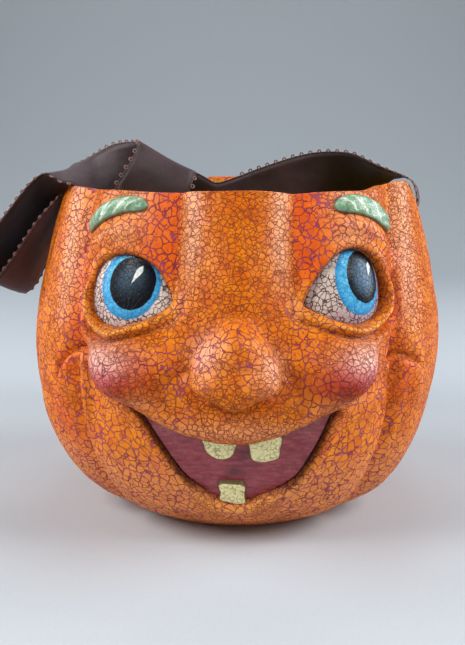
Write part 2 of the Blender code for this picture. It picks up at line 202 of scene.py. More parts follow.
def face_creases(angle, z):
    return [np.where(angle < 0, lookup(left, z), lookup(right, z))
            for left, right in (FIRST_CREASE, SECOND_CREASE)]


def rib_drop(angle, z):
    """How far the wall lies below the rib crests: V-shaped creases between rounded ribs."""
    angle = (angle + 180.0) % 360.0 - 180.0
    off = np.abs(angle)
    first, second = face_creases(angle, z)
    edges = [-first, first, second, *BACK_CREASES, 360.0 - BACK_CREASES[-1]]
    across = np.zeros_like(off)
    power = np.full_like(off, 2.3)
    for k, (near, far) in enumerate(zip(edges, edges[1:])):
        inside = (off >= near) & (off <= far)
        across = np.where(inside, np.abs(2 * (off - near) / (far - near) - 1), across)
        power = np.where(inside & (k < 2), 1.9, power)
    drop = across ** power
    # between the top and the foot the three face ribs melt into one broad one
    keep = np.maximum(smooth(112, 148, z), 0.7 * smooth(24, 8, z))
    drop = np.where(off < second, drop * keep + (off / second) ** 7 * (1 - keep), drop)
    depth = RIB_DEPTH * drop
    # sharper crease beside the face, and a step down behind it
    groove = 1.5 + 2.0 * smooth(118, 90, z)
    depth = depth + groove * bell(off - second - 0.4, 1.8) * smooth(192, 150, z)
    step_down = smooth(second, second + 3, off) * smooth(second + 16, second + 5, off)
    depth = depth + 1.5 * step_down * smooth(100, 70, z)
    # the same beside the middle rib
    depth = depth + 1.4 * keep * bell(off - first, 1.2)
    step_down = smooth(first, first + 1.2, off) * smooth(first + 9, first + 2, off)
    depth = depth + 0.9 * keep * step_down
    # shallow hollow low on the right side
    hollow = smooth(50, 64, angle) * smooth(112, 88, angle)
    depth = depth + 2.4 * hollow * bell(z - 56, 32.0)
    for edge in BACK_CREASES:
        depth = depth + 2.3 * bell(off - edge, 2.0)
    return depth * smooth(0, 16, z)


# --------------------------------------------------------------------------- face
# outlines and edges as (arc, z)
EYE_LEFT = even(
    [(-35.0, 132.2), (-36.2, 136.8), (-38.6, 140.4), (-41.8, 145.0), (-45.8, 148.8),
     (-51.8, 152.2), (-59.0, 153.8), (-66.2, 153.4), (-71.8, 151.9), (-77.0, 149.0),
     (-80.6, 144.6), (-82.8, 139.0), (-83.2, 133.2), (-82.0, 127.4), (-78.8, 122.7),
     (-73.6, 119.7), (-67.4, 118.4), (-61.4, 118.4), (-54.6, 120.6), (-47.8, 123.2),
     (-41.0, 126.6), (-36.6, 129.4)], 110, True)
EYE_RIGHT = even(
    [(32.6, 131.8), (35.0, 136.8), (40.2, 144.0), (45.4, 150.2), (51.4, 155.0), (56.8, 157.4),
     (62.8, 158.2), (69.8, 157.0), (76.0, 153.6), (81.0, 149.0), (84.2, 143.2), (85.4, 136.8),
     (85.0, 131.0), (82.4, 128.2), (78.4, 126.0), (70.6, 122.8), (63.4, 121.4), (55.8, 122.0),
     (48.2, 124.2), (41.8, 126.8), (36.6, 129.2)], 110, True)
LIP = [(-53.0, 81.0), (-47.1, 78.4), (-41.1, 75.4), (-34.8, 72.2), (-25.5, 68.8), (-17.3, 66.8),
       (-9.6, 65.4), (-1.4, 64.8), (7.5, 65.6), (19.7, 68.8), (31.5, 73.7), (41.9, 78.3),
       (49.0, 81.0)]
LOWER_LIP = [(-47.6, 75.2), (-43.6, 69.0), (-39.0, 61.4), (-34.2, 53.0), (-29.8, 45.6),
             (-25.2, 39.2), (-20.0, 33.4), (-15.0, 29.6), (-9.9, 27.2), (-1.1, 25.6), (6.6, 26.2),
             (16.4, 30.0), (25.4, 35.0), (30.6, 40.0), (34.6, 46.6), (38.0, 54.6), (41.4, 62.6),
             (44.4, 70.2), (46.6, 75.8)]
MOUTH = even(LIP[:1] + LOWER_LIP + LIP[:0:-1], 200, True)
MUZZLE = even(
    [(-83, 114), (-82.0, 107.8), (-80.4, 99.5), (-77.4, 91.6), (-71.4, 85.2), (-63.5, 82.0)] + LIP
    + [(54, 83.2), (60.5, 86.6), (67, 92.2), (71.0, 98.6), (73.2, 105), (75, 114), (66, 128),
       (24, 134), (-26, 134), (-68, 128)], 220, True)
# ovals as (arc, z, half arc, half z)
CHEEKS = ((-55.0, 100.5, 21.0, 15.0), (49.0, 102.5, 19.5, 13.8))
NOSE_WINGS = ((-15.5, 96.0, 6.2, 7.0), (13.5, 98.0, 6.2, 7.0))
NOSE_ARC, NOSE_Z = -1.5, 103.5


def nearest_opening(arc, z):
    return np.minimum.reduce([distance(edge, arc, z) for edge in (MOUTH, EYE_LEFT, EYE_RIGHT)])


def rolled_edge(depth, radius):
    """Quarter-round fall of one radius at the edge of an opening."""
    rest = radius - np.clip(depth, 0, radius)
    arch = np.sqrt(np.clip(radius ** 2 - rest ** 2, 0, None))
    return np.where(depth < radius, -radius + arch, 0)


def muzzle_height(arc, z):
    """Upper lip and cheeks, rolled under along one smiling edge."""
    swell = 8.4 * bell(z - lookup(LIP, arc) - 8.5, 14.0) * smooth(76, 44, np.abs(arc))
    for cheek in CHEEKS:
        swell = swell + 13.0 * spot(arc, z, *cheek, power=1.5)
    return swell * dome(-distance(MUZZLE, arc, z), 8.5)


def nose_height(arc, z):
    """Ball, two wings, and a bridge running up into the middle rib."""
    side, up = arc - NOSE_ARC, z - NOSE_Z
    half = 21.2 - 7.0 * smooth(0, 22, up) - 9.0 * smooth(6, 19, -up)
    radius = np.hypot(side / half, up / np.where(up > 0, 24.0, 19.0))
    sharp = smooth(2, -10, up)
    ball = np.clip(1 - radius ** (2.4 + 1.6 * sharp), 0, 1)
    height = 22.0 * ball ** (0.78 - 0.22 * sharp)
    for wing in NOSE_WINGS:
        height += 4.2 * spot(arc, z, *wing, power=1.2)
    height += 3.4 * bell(side, 15) * smooth(104, 128, z) * smooth(176, 140, z)
    groove = bell(np.hypot(side / 32, (z - 91) / 13) - 1.0, 0.14)
    return height - 2.0 * groove * smooth(110, 98, z) * smooth(76, 86, z)


def eye_rim_height(outline, arc, z):
    """Brow swelling, rolled upper lid, rolled lower lid with a crease under it."""
    away = distance(outline, arc, z)
    middle_arc, middle_z = outline.mean(0)
    across = (np.abs(arc) - abs(middle_arc)) / 24.0
    below = smooth(5, -7, z - middle_z + 2.0 - 3.0 * across)
    inner = smooth(-1.25, -0.35, across)
    outer = smooth(0.2, 1.0, across)
    lid, crease, bag = bell(away - 3.0, 2.0), bell(away - 6.8, 1.2), bell(away - 10.6, 3.0)
    lower = below * inner * (4.4 * lid - 2.9 * crease + 2.2 * bag)
    brow = 3.2 * bell(away - 11, 6.0) * smooth(180, 168, z) * smooth(-0.9, 0.1, across)
    upper = (1 - below) * ((0.9 + 0.3 * outer) * bell(away - 2.6, 2.2) + brow)
    ring = (away > 0) & (away < 22)
    height = np.where(ring, (lower + upper) * smooth(22, 15, away), 0)
    return height + rolled_edge(away, 1.1 + 1.1 * below * inner)


def mouth_rim_height(arc, z):
    """Lower lip: a faint bead and an edge rolled in."""
    away = distance(MOUTH, arc, z, reach=12.0)
    rim = 1.5 * bell(away - 3.4, 2.8) + rolled_edge(away, 1.1)
    return np.where(z < lookup(LIP, arc) - 1.0, rim, 0)


def fold_line(arc):
    """Arched top of the fold beside the smile: how far off its peak, curvature, z."""
    off_peak = np.abs(arc) - np.where(arc < 0, 87.0, 88.0)
    bend = np.where(arc < 0, 0.050, 0.024)
    return off_peak, bend, np.where(arc < 0, 103.6, 101.0) - bend * off_peak ** 2


def fold_height(arc, z):
    """Fingertip top of the fold that runs down each side of the smile."""
    off = np.abs(arc)
    off_peak, bend, top = fold_line(arc)
    top = top - 0.10 * np.clip(-3 - off_peak, 0, None) ** 2
    gap = (top - z) / np.sqrt(1 + (2 * bend * off_peak) ** 2)
    window = smooth(78, 83, off) * smooth(120, 100, off)
    tip = 3.4 * dome(gap, 5.0) * smooth(50, 86, z)
    groove = 2.7 * bell(gap + 1.7, 1.6) * smooth(112, 104, off)
    return window * (tip - groove) + 1.2 * window * bell(gap + 10, 9) * (gap < 0)


def relief(arc, z):
    """Sculpted height of the face above the ribbed wall."""
    height = np.zeros(arc.shape)
    near = (np.abs(arc) < 126) & (z > 12) & (z < 182)
    arc, z = arc[near], z[near]
    height[near] = (muzzle_height(arc, z) + nose_height(arc, z)
                    + eye_rim_height(EYE_LEFT, arc, z) + eye_rim_height(EYE_RIGHT, arc, z)
                    + mouth_rim_height(arc, z) + fold_height(arc, z))
    return height


# --------------------------------------------------------------------------- mesh helpers


def mesh_object(name, points, faces, materials, replaced=(), body="pumpkin", uv=None,
                attributes=None):
    """Object from points in mm; replaces frame pieces and rides on a body of the frame."""
    mesh = bpy.data.meshes.new(name)
    points = (np.asarray(points, float) * MM_TO_M).tolist()
    mesh.from_pydata(points, [], [tuple(int(i) for i in face) for face in faces])
    mesh.validate()
    for material in materials:
        mesh.materials.append(material)
    mesh.shade_smooth()
    if uv is not None:
        layer = mesh.uv_layers.new(name="UVMap")
        index = np.empty(len(mesh.loops), np.int32)
        mesh.loops.foreach_get("vertex_index", index)
        layer.data.foreach_set("uv", np.asarray(uv, np.float32)[index].ravel())
    for key, values in (attributes or {}).items():
        kind, field = ("FLOAT_COLOR", "color") if np.ndim(values) == 2 else ("FLOAT", "value")
        made = mesh.attributes.new(key, kind, "POINT")
        made.data.foreach_set(field, np.asarray(values, np.float32).ravel())
    obj = bpy.data.objects.new(name, mesh)
    bpy.context.scene.collection.objects.link(obj)
    if replaced:
        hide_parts(*replaced)
    if body:
        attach(obj, body)
    return obj


def grid_faces(rows, columns, wrap=False, flip=False):
    spans = columns if wrap else columns - 1
    i, j = np.meshgrid(np.arange(rows - 1), np.arange(spans), indexing="ij")
    k = (j + 1) % columns
    low, high = i * columns, (i + 1) * columns
    quads = np.stack([low + j, low + k, high + k, high + j], axis=-1).reshape(-1, 4)
    return quads[:, ::-1] if flip else quads


def paint_masks(first, second=0.0):
    """Rows of a colour attribute that carries up to two masks."""
    return np.stack(np.broadcast_arrays(first, second, 0.0, 1.0), axis=-1).reshape(-1, 4)


class Parts:
    """Points, faces and point values gathered piece by piece."""

    def __init__(self, width):
        self.width = width  # values per point
        self.points, self.values, self.faces, self.slots = [], [], [], []
        self.total = 0

    def add(self, points, values, faces=(), slot=0):
        """Add a piece whose faces count from its own first point; returns its point indices."""
        start = self.total
        self.points.append(points)
        self.values.append(np.zeros((len(points), self.width)) + values)
        self.faces += [[i + start for i in face] for face in faces]
        self.slots += [slot] * len(faces)
        self.total += len(points)
        return list(range(start, self.total))

    def stitch(self, lower, upper, flip=False):
        """Quads between two closed rings of point indices."""
        for quad in zip(lower, lower[1:] + lower[:1], upper[1:] + upper[:1], upper):
            self.faces.append(quad[::-1] if flip else quad)

    def close_disc(self, ring, level, depth, flip):
        """Flat disc at z = level inside a ring."""
        edge = np.vstack(self.points)[ring]
        for share in (0.66, 0.33):
            points = edge * share
            points[:, 2] = level
            inner = self.add(points, depth)
            self.stitch(ring, inner, flip)
            ring = inner
        centre = self.add(np.array([[0, 0, level]]), depth)[0]
        for i, j in zip(ring, ring[1:] + ring[:1]):
            self.faces.append([centre, j, i] if flip else [i, j, centre])


# --------------------------------------------------------------------------- node helpers
FALLING = (1.0, 0.0)


class Value:
    """A shader socket; arithmetic on it adds math nodes."""

    def __init__(self, nodes, socket):
        self.nodes, self.socket = nodes, socket

    def __add__(self, other):
        return self.nodes.math("ADD", self, other)

    def __sub__(self, other):
        return self.nodes.math("SUBTRACT", self, other)

    def __rsub__(self, other):
        return self.nodes.math("SUBTRACT", other, self)

    def __mul__(self, other):
        return self.nodes.math("MULTIPLY", self, other)

    def __truediv__(self, other):
        return self.nodes.math("DIVIDE", self, other)

    def __abs__(self):
        return self.nodes.math("ABSOLUTE", self)

    def maximum(self, other):
        return self.nodes.math("MAXIMUM", self, other)

    def scaled(self, factor, plus):
        return self.nodes.math("MULTIPLY_ADD", self, factor, plus)

    def ramp(self, start, end, to=(0.0, 1.0)):
        """Smoothstep from to[0] at start to to[1] at end."""
        inputs = dict(enumerate((self, start, end, *to)))
        return self.nodes.value("ShaderNodeMapRange", inputs, interpolation_type="SMOOTHSTEP")

    def towards(self, colour, share):
        return self.nodes.mix(share, self, colour)


class Nodes:
    """Builder for a material's node tree; place is the object coordinate in mm."""

    def __init__(self, name):
        self.material = bpy.data.materials.new(name)
        self.material.use_nodes = True
        self.tree = self.material.node_tree
        place = self.value("ShaderNodeTexCoord", output="Object")
        self.place = self.vector_math("SCALE", {0: place, 3: 1 / MM_TO_M})

    def put(self, socket, value):
        if isinstance(value, Value):
            self.tree.links.new(value.socket, socket)
        elif isinstance(value, tuple) and len(socket.default_value) > len(value):
            socket.default_value = (*value, 1.0)
        else:
            socket.default_value = value

    def add(self, kind, inputs=None, **settings):
        node = self.tree.nodes.new(kind)
        for key, value in settings.items():
            setattr(node, key, value)
        for key, value in (inputs or {}).items():
            self.put(node.inputs[key], value)
        return node

    def value(self, kind, inputs=None, output=0, **settings):
        """One output of a new node."""
        return Value(self, self.add(kind, inputs, **settings).outputs[output])

    def math(self, operation, first, second=0.0, third=0.0):
        inputs = {0: first, 1: second, 2: third}
        return self.value("ShaderNodeMath", inputs, operation=operation)

    def vector_math(self, operation, inputs):
        return self.value("ShaderNodeVectorMath", inputs, operation=operation)

    def mix(self, share, first, second):
        return self.value("ShaderNodeMix", {0: share, 6: first, 7: second}, 2, data_type="RGBA")

    def mix_value(self, share, first, second):
        return self.value("ShaderNodeMix", {0: share, 2: first, 3: second}, data_type="FLOAT")

    def split(self, vector, kind="ShaderNodeSeparateXYZ"):
        return [Value(self, socket) for socket in self.add(kind, {0: vector}).outputs]

    def uv(self):
        """The UV vector and its two parts."""
        vector = self.value("ShaderNodeUVMap", uv_map="UVMap")
        return vector, *self.split(vector)[:2]

    def masks(self, name):
        """The four channels of a colour attribute."""
        node = self.add("ShaderNodeAttribute", attribute_name=name)
        colour, alpha = (Value(self, node.outputs[key]) for key in ("Color", "Alpha"))
        return *self.split(colour, "ShaderNodeSeparateColor"), alpha

    def noise(self, size, detail=3.0, roughness=0.55, vector=None, output="Fac"):
        inputs = {"Vector": vector or self.place, "Scale": 1.0 / size, "Detail": detail,
                  "Roughness": roughness}
        return self.value("ShaderNodeTexNoise", inputs, output)

    def warped(self, vector, size, amount):
        """vector displaced by noise, so that straight cell edges wander."""
        shift = self.noise(size, detail=2.0, roughness=0.5, vector=vector, output="Color")
        shift = self.vector_math("SUBTRACT", {0: shift, 1: (0.5, 0.5, 0.5)})
        shift = self.vector_math("SCALE", {0: shift, 3: amount * 2})
        return self.vector_math("ADD", {0: vector, 1: shift})

    def voronoi(self, vector, size, feature, output):
        inputs = {"Vector": vector, "Scale": 1.0 / size}
        return self.value("ShaderNodeTexVoronoi", inputs, output, feature=feature)

    def edge_distance(self, vector, size):
        """Distance in mm to the nearest edge between cells."""
        return self.voronoi(vector, size, "DISTANCE_TO_EDGE", "Distance") * size

    def cell_value(self, vector, size):
        """Random value of each cell."""
        colour = self.voronoi(vector, size, "F1", "Color")
        return self.split(colour, "ShaderNodeSeparateColor")[0]

    def finish(self, colour, roughness, height, bump_mm, **inputs):
        """Feed the surface shader; bump_mm is the depth of one unit of height."""
        bump = self.value("ShaderNodeBump", {"Distance": bump_mm * MM_TO_M, "Height": height})
        inputs = {"Base_Color": colour, "Roughness": roughness, "Normal": bump,
                  "Coat_Normal": bump, **inputs}
        for key, value in inputs.items():
            self.put(self.tree.nodes["Principled BSDF"].inputs[key.replace("_", " ")], value)
        return self.material


def rgb(*display):
    """Linear colour from 0-255 display values."""
    shares = [channel / 255 for channel in display]
    return tuple(c / 12.92 if c <= 0.04045 else ((c + 0.055) / 1.055) ** 2.4 for c in shares)


# --------------------------------------------------------------------------- materials


def glaze_cracks(mat, size):
    """Crack strength, share of large cells, and random values of the large and small cells."""
    big_size, small_size = 4.3, 2.7
    frayed = mat.warped(mat.place, size=1.2, amount=0.30)
    big = mat.warped(frayed, size=5.0, amount=1.5)
    small = mat.warped(frayed, size=3.0, amount=0.8)
    patch = mat.noise(size=15.0, detail=2.0)
    large = (size + (patch - 0.5) * 1.3).ramp(start=0.40, end=0.62)
    width = mat.noise(size=5.0, detail=2.0).ramp(start=0.25, end=0.75, to=(0.15, 0.34))
    thin = mat.noise(size=4.0, detail=2.0).ramp(start=0.3, end=0.7, to=(0.08, 0.19))
    wide = mat.edge_distance(big, big_size).ramp(
        start=width * 0.45, end=width * 1.25, to=FALLING)
    fine = mat.edge_distance(small, small_size).ramp(
        start=thin * 0.4, end=thin * 1.5, to=FALLING)
    hair = fine * mat.noise(size=2.6, detail=2.0).ramp(start=0.52, end=0.62, to=(0.0, 0.75))
    crack = mat.mix_value(large, fine.maximum(wide * 0.55), wide.maximum(hair))
    return crack, large, mat.cell_value(big, big_size), mat.cell_value(small, small_size)


def glaze_material():
    """Orange ceramic: painted colour, painted highlights and shade, two sizes of mauve cracks,
    clear varnish.
    """
    mat = Nodes("orange_crackle_glaze")
    red, blush, dark, size = mat.masks("paint")
    painted_yellow_highlight, inside, painted_pale_highlight, painted_pink_highlight = mat.masks("paint2")
    crack, large, big_cell, small_cell = glaze_cracks(mat, size)

    # orange ground, varied from cell to cell
    tone = mat.noise(size=9.0, detail=4.0, roughness=0.6).ramp(start=0.30, end=0.72)
    orange = mat.mix(tone, rgb(206, 96, 2), rgb(232, 130, 4))
    orange = orange.towards(rgb(246, 150, 8), big_cell * large * 0.45)
    orange = orange.towards(rgb(198, 84, 6), small_cell * 0.22)

    # painted colours, painted highlights and painted shade
    deep = mat.noise(size=7.0).ramp(start=0.35, end=0.65)
    colour = orange.towards(mat.mix(deep, rgb(210, 70, 2), rgb(230, 96, 4)), red * 0.85)
    # painted highlight in pale orange-pink on rib shoulders, brows, nose and lids, and painted
    # floor reflection low on the face
    colour = colour.towards(rgb(246, 186, 146), painted_pale_highlight * 0.75)
    x, _, z = mat.split(mat.place)
    outer = mat.noise(size=6.0).scaled(8.0, plus=abs(x).scaled(0.55, plus=z))
    rouge = mat.mix(outer.ramp(start=126, end=137), rgb(168, 24, 8), rgb(178, 58, 68))
    mottle = mat.noise(size=5.0, detail=4.0, roughness=0.65)
    colour = colour.towards(rouge, blush * mottle.ramp(start=0.22, end=0.62, to=(0.72, 1.0)))
    # painted pink highlight on the cheeks and the nose
    colour = colour.towards(rgb(246, 192, 172), painted_pink_highlight * 0.74)
    # painted yellow highlight on the lower-lid beads and the lower lip
    colour = colour.towards(rgb(246, 178, 72), painted_yellow_highlight)
    # painted shade: upper lids, lower-lid creases, mouth edge, opening walls, under the nose and
    # cheeks, side-fold creases
    colour = colour.towards(rgb(78, 28, 10), dark * 0.85)

    # cracks
    mauve = mat.noise(size=8.0, detail=2.0).ramp(start=0.35, end=0.65)
    stain = mat.mix(mauve, rgb(150, 66, 96), rgb(124, 44, 66))
    stain = stain.towards(rgb(120, 44, 32), 1.0 - large)
    # cracks darker on the cheeks and in the painted shade
    stain = stain.towards(rgb(84, 24, 34), dark.maximum(blush * 0.45))
    colour = colour.towards(stain, crack * mat.mix_value(large, 0.78, 0.9))

    # speckled yellow inside the bowl
    yellow = mat.mix(mat.noise(size=12.0, detail=4.0), rgb(198, 160, 14), rgb(236, 206, 34))
    speck = mat.noise(size=3.0).ramp(start=0.66, end=0.72)
    yellow = yellow.towards(rgb(60, 30, 14), speck * 0.7)
    yellow = yellow.towards(rgb(120, 84, 20), crack * 0.25)
    colour = colour.towards(yellow, inside)

    height = big_cell.scaled(0.05, plus=crack * -1.0)
    height = mat.noise(size=1.3, roughness=0.6).scaled(0.20, plus=height)
    rough = mat.noise(size=7.0).ramp(start=0.3, end=0.7, to=(0.46, 0.58))
    coat = (1.0 - crack * 0.75) * mat.mix_value(inside, 0.22, 0.10)
    return mat.finish(colour, crack.scaled(0.2, plus=rough), height, bump_mm=0.42,
                      Coat_Weight=coat, Coat_Roughness=0.27, Coat_IOR=1.5,
                      Specular_IOR_Level=0.12)


def mouth_material():
    """Brushed burgundy paint under varnish, with painted shade towards the rim along the lower lip
    and between the teeth.
    """
    mat = Nodes("maroon_gloss")
    edge, tooth_gap_shade, *_ = mat.masks("paint")
    streak = mat.value("ShaderNodeMapping", {0: mat.place, "Scale": (0.16, 0.16, 0.55)})
    brush = mat.noise(size=1.0, detail=4.0, roughness=0.6, vector=streak)
    colour = mat.mix(brush.ramp(start=0.3, end=0.7), rgb(127, 40, 48), rgb(163, 74, 82))
    fleck = mat.noise(size=2.2, detail=4.0, roughness=0.7).ramp(start=0.45, end=0.75)
    colour = colour.towards(rgb(136, 40, 54), fleck)
    # painted shade in the corner along the lower lip, with a jagged edge
    jagged = edge + (mat.noise(size=1.8, roughness=0.7) - 0.5) * 0.9
    colour = colour.towards(rgb(46, 12, 12), jagged.ramp(start=0.55, end=0.85))
    # painted shade between the teeth
    colour = colour.towards(rgb(52, 14, 20), tooth_gap_shade * 0.7)
    height = mat.noise(size=1.3, roughness=0.6).scaled(0.5, plus=brush)
    rough = mat.noise(size=5.0).ramp(start=0.3, end=0.7, to=(0.20, 0.38))
    return mat.finish(colour, rough, height, bump_mm=0.25, Coat_Weight=0.45, Coat_Roughness=0.16)


def tooth_material():
    """Thick cream paint, faintly crackled and brown at the edges."""
    mat = Nodes("ivory_paint")
    edge, *_ = mat.masks("paint")
    cells = mat.warped(mat.place, size=2.0, amount=0.8)
    crack = mat.edge_distance(cells, size=2.3).ramp(start=0.03, end=0.18, to=FALLING)
    crack = crack * mat.noise(size=3.0, detail=2.0).ramp(start=0.35, end=0.6)
    cream = mat.noise(size=2.6, detail=4.0, roughness=0.65)
    colour = mat.mix(cream, rgb(218, 208, 136), rgb(252, 245, 190))
    colour = colour.towards(rgb(112, 96, 58), crack * 0.7)
    # darker brown towards the edges of the dab
    brown_edges = (edge + mat.noise(size=1.4) * 0.5).ramp(start=0.75, end=1.15)
    colour = colour.towards(rgb(110, 92, 52), brown_edges)
    height = crack.scaled(-0.6, plus=mat.noise(size=1.5, detail=4.0, roughness=0.65))
    rough = mat.noise(size=3.0, detail=2.0).ramp(start=0.3, end=0.7, to=(0.42, 0.6))
    return mat.finish(colour, rough, height, bump_mm=0.5, Coat_Weight=0.25, Coat_Roughness=0.3)


def brow_material():
    """Sage-green paint with slanting pale strokes and a brown tail."""
    mat = Nodes("green_paint")
    _, along, across = mat.uv()
    slant = across.scaled(-0.12, plus=along) + (mat.noise(size=3.2) - 0.5) * 0.09
    stroke = None
    for centre, width in ((0.42, 0.022), (0.66, 0.030), (0.80, 0.014)):
        one = abs(slant - centre).ramp(start=width * 0.5, end=width * 1.5, to=FALLING)
        stroke = stroke.maximum(one) if stroke else one
    stroke = stroke * mat.noise(size=1.1, roughness=0.7).ramp(start=0.34, end=0.50)
    stroke = stroke * abs(across).ramp(start=0.62, end=0.9, to=FALLING)
    tone = mat.noise(size=3.0, detail=4.0, roughness=0.65).ramp(start=0.3, end=0.7)
    colour = mat.mix(tone, rgb(92, 132, 98), rgb(134, 172, 140))
    colour = colour.towards(rgb(226, 230, 206), stroke * 0.85)
    colour = colour.towards(rgb(112, 88, 44), along.ramp(start=0.30, end=0.02, to=(0.0, 0.8)))
    rim = abs(across).ramp(start=0.80, end=1.0)
    colour = colour.towards(rgb(84, 62, 34), rim * 0.75)
    height = stroke.scaled(0.5, plus=mat.noise(size=1.6, detail=4.0, roughness=0.6))
    return mat.finish(colour, 0.36, height, bump_mm=0.35, Coat_Weight=0.5, Coat_Roughness=0.2)


def eye_material(name, iris, pupil, spark, sheen, white, grey, lower_outer_mauve_share):
    """Painted eye on crackled off-white: a blue ring, a dark pupil and a white stroke.

    iris and pupil are (centre, half sizes), spark the ends of the stroke, all as (arc, z);
    sheen is (strength, start) of the pupil's paler part: grey-blue paint and painted reflection.
    """
    mat = Nodes(name)
    _, arc, z = mat.uv()
    shake = (mat.noise(size=4.0, detail=2.0) - 0.5) * 0.10
    edge, *_ = mat.masks("paint")

    def oval(centre, half):
        across, up = (arc - centre[0]) / half[0], (z - centre[1]) / half[1]
        return mat.math("SQRT", across * across + up * up) + shake

    # off-white ground
    cells = mat.warped(mat.place, size=2.2, amount=0.7)
    crack = mat.edge_distance(cells, size=2.5).ramp(start=0.07, end=0.24, to=FALLING)
    crack = crack * mat.noise(size=5.0, detail=2.0).ramp(start=0.25, end=0.45)
    colour = mat.mix(mat.noise(size=6.0), white, grey)
    # mauve-grey towards the lower outer side of the eyeball
    lower_outer_mauve = abs(arc).scaled(0.5, plus=z * -1.0)
    lower_outer_mauve = lower_outer_mauve.ramp(start=-112, end=-94, to=(0.0, lower_outer_mauve_share))
    colour = colour.towards(rgb(176, 146, 158), lower_outer_mauve)
    colour = colour.towards(rgb(78, 34, 34), crack * 0.92)

    # blue ring, deeper at its edge and low down
    ring = oval(*iris)
    tone = mat.noise(size=2.6, detail=4.0, roughness=0.65).ramp(start=0.3, end=0.7)
    blue = mat.mix(tone, rgb(52, 150, 204), rgb(104, 198, 236))
    blue = blue.towards(rgb(34, 122, 182), ring.ramp(start=0.80, end=1.0, to=(0.0, 0.75)))
    iris_z = iris[0][1]
    low = z.ramp(start=iris_z - 14, end=iris_z + 8, to=(0.45, 0.0))
    blue = blue.towards(rgb(44, 140, 198), low)
    blue = blue.towards(rgb(20, 70, 110), crack * 0.18)
    colour = colour.towards(blue, ring.ramp(start=0.985, end=1.02, to=FALLING))

    # pupil, with a painted reflection in its paler upper part
    disc = oval(*pupil)
    strength, start = sheen
    upper = z.scaled(0.045, plus=arc * -0.02).ramp(start=start, end=start + 0.9)
    shine = disc.ramp(start=0.90, end=0.35) * upper
    dark = mat.mix(shine * strength, rgb(10, 13, 22), rgb(98, 130, 158))
    dark = dark.towards(rgb(8, 8, 10), crack * 0.35)
    colour = colour.towards(dark, disc.ramp(start=0.985, end=1.03, to=FALLING))

    # tapering white stroke
    (start_arc, start_z), (end_arc, end_z) = spark
    length = math.hypot(end_arc - start_arc, end_z - start_z)
    run, rise = (end_arc - start_arc) / length, (end_z - start_z) / length
    along = (arc - start_arc) * run + (z - start_z) * rise
    across = (arc - start_arc) * -rise + (z - start_z) * run
    share = along / length
    half = share.ramp(start=-0.12, end=0.25) * share.ramp(start=1.15, end=0.1) * 2.0
    stroke = (abs(across + shake * 4.0) - half).ramp(start=-0.5, end=0.05, to=FALLING)
    stroke = stroke * half.ramp(start=0.05, end=0.5)
    chalk = mat.noise(size=1.4, roughness=0.7)
    colour = colour.towards(mat.mix(chalk, rgb(196, 204, 200), rgb(244, 246, 240)), stroke)

    # painted shade where the eyeball meets the lid, strongest under the upper lid
    colour = colour.towards(rgb(52, 24, 16), edge * 0.8)
    height = crack.scaled(-0.9, plus=mat.noise(size=1.2, roughness=0.6) * 0.45)
    return mat.finish(colour, 0.42, height, bump_mm=0.30, Coat_Weight=0.12, Coat_Roughness=0.14,
                      Specular_IOR_Level=0.10)


def ribbon_material():
    """Dark brown woven satin: fine ribs across the ribbon, soft sheen, faint creases."""
    mat = Nodes("brown_satin")
    weft_pitch, warp_pitch = 0.62, 0.45
    vector, along, across = mat.uv()
    weft = mat.math("SINE", along * (2 * math.pi / weft_pitch))
    warp = mat.math("SINE", across * (2 * math.pi / warp_pitch))
    weave = warp.scaled(0.4, plus=weft)
    soft = mat.noise(size=16.0)
    colour = mat.mix(soft.ramp(start=0.3, end=0.7), rgb(50, 35, 39), rgb(68, 48, 53))
    colour = colour.towards(rgb(36, 25, 28), weave.ramp(start=-1.2, end=1.2, to=(0.0, 0.35)))
    flick = mat.noise(size=1.1, roughness=0.7, vector=vector)
    colour = colour.towards(rgb(98, 74, 76), flick.ramp(start=0.62, end=0.82, to=(0.0, 0.35)))
    shade = mat.value("ShaderNodeAttribute", output="Fac", attribute_name="shade")
    colour = colour.towards(rgb(14, 7, 8), shade * 0.9)
    height = weave.scaled(0.10, plus=mat.noise(size=5.0))
    rough = soft.ramp(start=0.3, end=0.7, to=(0.40, 0.52))
    return mat.finish(colour, rough, height, bump_mm=0.30, Sheen_Weight=0.25,
                      Sheen_Roughness=0.4, Sheen_Tint=(0.8, 0.66, 0.68, 1.0),
                      Specular_IOR_Level=0.42, Anisotropic=0.5)


def picot_material():
    """The paler brown cord of the picot edge."""
    mat = Nodes("brown_picot")
    twist = mat.noise(size=0.7, roughness=0.6)
    colour = mat.mix(twist.ramp(start=0.3, end=0.7), rgb(84, 56, 52), rgb(142, 104, 94))
    return mat.finish(colour, 0.55, twist, bump_mm=0.15, Sheen_Weight=0.3, Sheen_Roughness=0.5)


def floor_material():
    """Pale studio sweep, darker in reflections so that varnish keeps its colour."""
    mat = Nodes("pale_floor")
    grain = mat.noise(size=1.6, roughness=0.6)
    colour = mat.mix(grain, rgb(178, 186, 193), rgb(190, 197, 204))
    rays = mat.add("ShaderNodeLightPath").outputs
    colour = colour.towards(rgb(198, 201, 205), Value(mat, rays["Is Diffuse Ray"]))
    colour = colour.towards(rgb(140, 144, 152), Value(mat, rays["Is Glossy Ray"]))
    return mat.finish(colour, 0.6, mat.noise(size=1.1, detail=2.0), bump_mm=0.08)


GLAZE = glaze_material()
MAROON = mouth_material()
IVORY = tooth_material()
GREEN = brow_material()
SATIN = ribbon_material()
PICOT = picot_material()

# --------------------------------------------------------------------------- shell
FACE_HALF = 62.0  # degrees each side of the middle that carry fine columns
FACE_STEP = 0.5
OPENING_DEPTHS = (3.2, 6.4, 9.6)  # layers of the walls that run in from the openings
RIM_STEPS = 8
RIM_RISE = 1.7
